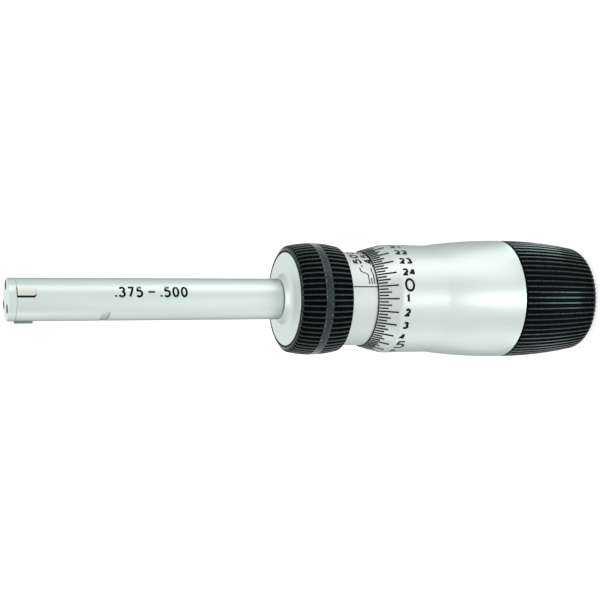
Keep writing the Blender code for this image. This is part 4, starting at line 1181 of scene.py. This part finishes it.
def ribbon(bm, points, width, radius):
    """Thin ink line on a cylinder through (turn, height) points, closed if its ends meet."""
    flat = []
    for (turn, height), (next_turn, next_height) in zip(points, points[1:]):
        start = Vector((math.radians(turn) * radius, height))
        end = Vector((math.radians(next_turn) * radius, next_height))
        pieces = max(1, round((end - start).length / (0.3 * MM)))
        flat += [start.lerp(end, step / pieces) for step in range(pieces)]
    last = Vector((math.radians(points[-1][0]) * radius, points[-1][1]))
    closed = (last - flat[0]).length < 0.001 * MM
    if not closed:
        flat.append(last)
    rings = []
    for index, point in enumerate(flat):
        come = (point - flat[index - 1]).normalized()
        go = (flat[(index + 1) % len(flat)] - point).normalized()
        if not closed and index == 0:
            come = go
        if not closed and index == len(flat) - 1:
            go = come
        side = Vector((-(come + go).y, (come + go).x)).normalized()
        side *= width / 2 / max(0.5, side.dot(Vector((-come.y, come.x))))
        ring = []
        for sign, out in ((-1, INK_PROUD), (1, INK_PROUD), (1, -INK_SUNK), (-1, -INK_SUNK)):
            spot = point + side * sign
            ring.append(bm.verts.new(on_tool(radius + out, math.degrees(spot.x / radius), spot.y)))
        rings.append(ring)
    skin(bm, rings + rings[:1] if closed else rings, caps=not closed)


def inked(name, body, bm):
    """Ink of a scale as a piece of its own."""
    finish_piece(new_object(name, mesh_of(name, bm)), body, [], "black_enamel_fill")


def reading_height(reading):
    """Height on the sleeve that the thimble's edge has at a reading in inches."""
    return THIMBLE_TOP + (reading - SET_READING) / TURN_READING * THREAD_PITCH


def number_height(step):
    """Height of the middle of a number on the sleeve: the numbers fan out from the second mark."""
    return reading_height(0.45) + LABEL_LIFT + LABEL_SPACING * (1 - step)


def sleeve_marks(sizes):
    """Datum line along the sleeve, a mark for each turn, and leaders to the numbered ones."""
    bm = bmesh.new()
    width = sizes.mark_width * SLEEVE_LINE_SHARE
    ribbon(bm, ((DATUM_TURN, SLEEVE_TOP), (DATUM_TURN, SLEEVE_FOOT)), width, SLEEVE_RADIUS)
    for step in range(6):
        height = reading_height(0.5 - step * TURN_READING)
        label = number_height(step // 2)
        places = ((SLEEVE_MARK_TURN, height), (SHORT_TURN, height)) if step % 2 else (
            (SLEEVE_MARK_TURN, height), (LONG_TURN, height), (LEADER_TURN, label),
            (LABEL_TURN, label))
        ribbon(bm, places, width, SLEEVE_RADIUS)
    inked("sleeve_marks", "frame", bm)


# Strokes of the engraved figures on a grid four wide and six high. Each stroke runs through
# places (x, y) and arcs (centre x, centre y, half width, half height, first and last angle).
FIGURES = {
    "0": (((2, 3, 2, 3, 90, 450),),),
    "1": (((0.7, 4.8), (2, 6), (2, 0)),),
    "2": (((2, 4.25, 1.85, 1.75, 165, -38), (0, 0), (4, 0)),),
    "3": (((2, 4.55, 1.7, 1.45, 160, -90),), ((1.9, 1.55, 2.1, 1.55, 90, -160),)),
    "4": (((3, 6), (3, 0)), ((3, 6), (0, 1.7), (4.2, 1.7))),
    "5": (((3.7, 6), (0.7, 6), (0.4, 3.3)), ((1.8, 1.95, 2.2, 1.95, 137, -145),)),
    "6": (((3.3, 2, 3.3, 4, 98, 180), (2, 1.9, 2, 1.9, 180, 540)),),
    "7": (((0, 6), (4, 6), (1.4, 0)),),
    "8": (((2, 4.55, 1.7, 1.45, -90, 270),), ((2, 1.55, 2, 1.55, 90, 450),)),
    "9": (((2, 4.1, 2, 1.9, 360, 0), (0.7, 4, 3.3, 4, 0, -82)),),
    ".": (((0, -0.2), (0, 0.9)),),
    "-": (((-0.7, 3), (4.7, 3)),),
    " ": (),
}
FIGURE_WIDTHS = {".": 0, " ": 0}


def figure_strokes(text, line, height, width, gap):
    """Strokes of a line of figures, each a list of places from the line's lower left corner."""
    strokes = []
    start = line / 2
    for figure in text:
        for stroke in FIGURES[figure]:
            places = []
            for item in stroke:
                if len(item) == 2:
                    places.append(item)
                    continue
                x, y, across, up, first, last = item
                steps = max(4, round(abs(last - first) / 15))
                for step in range(steps + 1):
                    angle = math.radians(first + (last - first) * step / steps)
                    places.append((x + across * math.cos(angle), y + up * math.sin(angle)))
            strokes.append([(start + x * (width - line) / 4, line / 2 + y * (height - line) / 6)
                            for x, y in places])
        start += FIGURE_WIDTHS.get(figure, 4) * (width - line) / 4 + line + gap
    return strokes


def engrave(bm, strokes, line, radius, place):
    """Ink strokes on a cylinder, each a hair above the one before so that crossings stay clean."""
    for index, stroke in enumerate(strokes):
        lift = 0.001 * MM * (index % 2)
        ribbon(bm, [place(x, y) for x, y in stroke], line, radius + lift)


def engrave_along(bm, strokes, line, turn, height, tall, radius):
    """Figures that read towards the cap, from a height and centred on a turn."""
    def place(x, y):
        return turn + math.degrees((y - tall / 2) / radius), height - x

    engrave(bm, strokes, line, radius, place)


def engrave_around(bm, strokes, line, turn, height, radius):
    """Figures that read round the tool from a turn, with their feet at a height."""
    def place(x, y):
        return turn + math.degrees(x / radius), height + y

    engrave(bm, strokes, line, radius, place)


def thimble_numbers(sizes):
    """Numbers 0 to 24 round the thimble, with 0 and every fifth one larger."""
    line = sizes.stroke_width
    bm = bmesh.new()
    for number in range(THIMBLE_NUMBERS):
        large = number % 5 == 0
        tall = sizes.zero_height if large else sizes.digit_height
        width = LARGE_WIDTH if large else SMALL_WIDTH
        strokes = figure_strokes(str(number), line, tall, width, THIMBLE_FIGURE_GAP)
        turn = DATUM_TURN - 360 * number / THIMBLE_NUMBERS
        engrave_along(bm, strokes, line, turn, THIMBLE_NUMBER_TOP, tall, THIMBLE_RADIUS)
    inked("thimble_numbers", "thimble", bm)


def sleeve_numbers(sizes):
    """Numbers of the sleeve's long marks, read round the tool."""
    line = sizes.stroke_width * FINE_STROKE_SHARE
    bm = bmesh.new()
    for step, text in enumerate((".500", ".450", ".400")):
        foot = number_height(step) - SLEEVE_FIGURE[0] / 2
        strokes = figure_strokes(text, line, *SLEEVE_FIGURE)
        engrave_around(bm, strokes, line, SLEEVE_NUMBER_TURN, foot, SLEEVE_RADIUS)
    inked("sleeve_numbers", "frame", bm)


def range_marking(sizes):
    """Plain numbers of the measuring range on the head tube."""
    line = sizes.stroke_width * FINE_STROKE_SHARE
    bm = bmesh.new()
    strokes = figure_strokes(".375 - .500", line, *RANGE_FIGURE)
    engrave_along(bm, strokes, line, RANGE_TURN, RANGE_TOP, RANGE_FIGURE[0], TUBE_RADIUS)
    inked("range_marking", "frame", bm)


def return_spring(steps=20, sides=10):
    """Wire spring coiled from the foot to the top of the imported return spring."""
    low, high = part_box("return_spring")
    count = SPRING_TURNS * steps
    bm = bmesh.new()
    rings = []
    for step in range(count + 1):
        rise = low.z + SPRING_WIRE + (high.z - low.z - 2 * SPRING_WIRE) * step / count
        ring = []
        for side in range(sides):
            angle = math.tau * side / sides
            ring.append(bm.verts.new(on_tool(SPRING_RADIUS + SPRING_WIRE * math.cos(angle),
                                             360 * step / steps,
                                             rise + SPRING_WIRE * math.sin(angle))))
        rings.append(ring)
    skin(bm, rings)
    spring = new_object("return_spring_coiled", mesh_of("return_spring_coiled", bm))
    spring.data.materials.append(material_named("spring_wire"))
    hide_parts("return_spring")
    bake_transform(spring)


def inner_works():
    """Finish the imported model's own pieces that stay in place."""
    for material, names in INNER_FINISHES.items():
        for name in names:
            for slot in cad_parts[name].material_slots:
                slot.material = material_named(material)


def floor(colours):
    """Plain floor under the cap: matt and pale, with a glow that evens out its tone."""
    material, tree = blank_material("pale_floor")
    shader = node(tree, "ShaderNodeBsdfPrincipled", None,
                  {"Base Color": opaque(colours.floor), "Roughness": 0.9,
                   "Emission Color": grey(1.0), "Emission Strength": FLOOR_GLOW})
    node(tree, "ShaderNodeOutputMaterial", {"Surface": shader})
    bm = bmesh.new()
    bmesh.ops.create_circle(bm, cap_ends=True, segments=96, radius=FLOOR_RADIUS)
    bmesh.ops.translate(bm, verts=bm.verts, vec=(0, 0, -FLOOR_SINK))
    plane = new_object("floor", plain_mesh("floor", bm))
    plane.data.materials.append(material)


def area_light(name, place, size, watts, tint):
    """Rectangular light that the camera doesn't see."""
    data = bpy.data.lights.new(name, "AREA")
    data.shape = "RECTANGLE"
    data.size, data.size_y = size
    data.energy = watts
    data.color = tint
    light = new_object(name, data)
    light.location = place
    light.visible_camera = False
    return light


def lights():
    """White world, soft boxes aimed at the tool, and panels on the floor that face up."""
    world = bpy.data.worlds.new("studio")
    bpy.context.scene.world = world
    world.use_nodes = True
    background = world.node_tree.nodes["Background"]
    background.inputs["Color"].default_value = grey(1.0)
    background.inputs["Strength"].default_value = WORLD_STRENGTH
    for name, (place, size, watts) in SOFTBOXES.items():
        light = area_light(name, place, size, watts, WARM)
        aim = Vector(LIGHT_AIM) - Vector(place)
        light.rotation_euler = aim.to_track_quat("-Z", "Y").to_euler()
    for name, (turn, start, end, width, radiance, tint) in FLOOR_PANELS.items():
        place = on_tool((start + end) / 2, turn, PANEL_LIFT)
        watts = radiance * math.pi * (end - start) * width
        light = area_light(name, place, (end - start, width), watts, tint)
        light.rotation_euler = (math.pi, 0, math.radians(turn - 90))


def camera():
    """Camera at the photograph's angle: the tool lies across the frame, its tip to the left."""
    dip = math.radians(CAMERA_DIP)
    ahead = Vector((0, math.cos(dip), -math.sin(dip)))
    up = Vector((1, 0, 0))
    right = ahead.cross(up)
    place = Vector((0, 0, AIM_HEIGHT)) - ahead * CAMERA_DISTANCE - up * AIM_DROP
    data = bpy.data.cameras.new("camera")
    data.sensor_width = SENSOR_WIDTH
    data.lens = SENSOR_WIDTH * FOCAL_PIXELS / PHOTO_WIDTH
    data.clip_start = CLIP_START
    data.clip_end = CLIP_END
    shot = new_object("camera", data)
    axes = Matrix((right, up, -ahead)).transposed().to_4x4()
    shot.matrix_world = (Matrix.Translation(place) @ axes
                         @ Matrix.Rotation(math.radians(-CAMERA_ROLL), 4, "Z"))
    bpy.context.scene.camera = shot


class MICROMETER_OT_measuring_head(Operator):
    """Build the head tube with its end plate, screws and anvils"""

    bl_idname = "micrometer.measuring_head"
    bl_label = "Measuring head"

    def execute(self, context):
        head_tube()
        nose_plate()
        for number, turn in enumerate(SCREW_TURNS, 1):
            nose_screw(number, turn)
        for number, turn in enumerate(ANVIL_TURNS, 1):
            anvil(number, turn)
        return {"FINISHED"}


class MICROMETER_OT_front_housing(Operator):
    """Build the flange with its boss and hub"""

    bl_idname = "micrometer.front_housing"
    bl_label = "Front housing"

    def execute(self, context):
        front_housing()
        return {"FINISHED"}


class MICROMETER_OT_grip_collar(Operator):
    """Build the fluted grip collar"""

    bl_idname = "micrometer.grip_collar"
    bl_label = "Grip collar"

    def execute(self, context):
        grip_collar(context.scene.micrometer_sizes)
        return {"FINISHED"}


class MICROMETER_OT_sleeve(Operator):
    """Build the sleeve"""

    bl_idname = "micrometer.sleeve"
    bl_label = "Sleeve"

    def execute(self, context):
        sleeve()
        return {"FINISHED"}


class MICROMETER_OT_thimble(Operator):
    """Build the thimble"""

    bl_idname = "micrometer.thimble"
    bl_label = "Thimble"

    def execute(self, context):
        thimble()
        return {"FINISHED"}


class MICROMETER_OT_scales(Operator):
    """Engrave and ink the scales, their numbers and the range"""

    bl_idname = "micrometer.scales"
    bl_label = "Scales"

    def execute(self, context):
        sizes = context.scene.micrometer_sizes
        # The black ring at the thimble's edge is a painted shadow of the gap to the sleeve
        thimble_edge_line()
        thimble_graduations(sizes)
        thimble_numbers(sizes)
        sleeve_marks(sizes)
        sleeve_numbers(sizes)
        range_marking(sizes)
        return {"FINISHED"}


class MICROMETER_OT_ratchet_cap(Operator):
    """Build the ribbed ratchet cap"""

    bl_idname = "micrometer.ratchet_cap"
    bl_label = "Ratchet cap"

    def execute(self, context):
        ratchet_cap(context.scene.micrometer_sizes)
        return {"FINISHED"}


class MICROMETER_OT_inner_works(Operator):
    """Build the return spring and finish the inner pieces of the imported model"""

    bl_idname = "micrometer.inner_works"
    bl_label = "Inner works"

    def execute(self, context):
        return_spring()
        inner_works()
        return {"FINISHED"}


class MICROMETER_OT_stage(Operator):
    """Set up the floor, the lights and the camera"""

    bl_idname = "micrometer.stage"
    bl_label = "Stage"

    def execute(self, context):
        floor(context.scene.micrometer_colours)
        lights()
        camera()
        context.scene.view_settings.view_transform = "Standard"
        return {"FINISHED"}


OPERATORS = (
    MICROMETER_OT_stage,
    MICROMETER_OT_measuring_head,
    MICROMETER_OT_front_housing,
    MICROMETER_OT_grip_collar,
    MICROMETER_OT_sleeve,
    MICROMETER_OT_thimble,
    MICROMETER_OT_scales,
    MICROMETER_OT_ratchet_cap,
    MICROMETER_OT_inner_works,
)


class MICROMETER_PT_panel(Panel):
    """Sidebar panel that lists the pieces"""

    bl_idname = "MICROMETER_PT_panel"
    bl_label = "Inside Micrometer"
    bl_space_type = "VIEW_3D"
    bl_region_type = "UI"
    bl_category = "Micrometer"

    def draw(self, context):
        for group in (context.scene.micrometer_sizes, context.scene.micrometer_colours):
            box = self.layout.box()
            for name in group.__annotations__:
                box.prop(group, name)
        for operator in OPERATORS:
            self.layout.operator(operator.bl_idname)


CLASSES = (MicrometerSizes, MicrometerColours, *OPERATORS, MICROMETER_PT_panel)


def register():
    for item in CLASSES:
        bpy.utils.register_class(item)
    bpy.types.Scene.micrometer_sizes = PointerProperty(type=MicrometerSizes)
    bpy.types.Scene.micrometer_colours = PointerProperty(type=MicrometerColours)


def unregister():
    del bpy.types.Scene.micrometer_colours
    del bpy.types.Scene.micrometer_sizes
    for item in reversed(CLASSES):
        bpy.utils.unregister_class(item)


def main():
    register()
    bpy.ops.micrometer.stage()
    bpy.ops.micrometer.measuring_head()
    bpy.ops.micrometer.front_housing()
    bpy.ops.micrometer.grip_collar()
    bpy.ops.micrometer.sleeve()
    bpy.ops.micrometer.thimble()
    bpy.ops.micrometer.scales()
    bpy.ops.micrometer.ratchet_cap()
    bpy.ops.micrometer.inner_works()


if __name__ == "__main__":
    main()
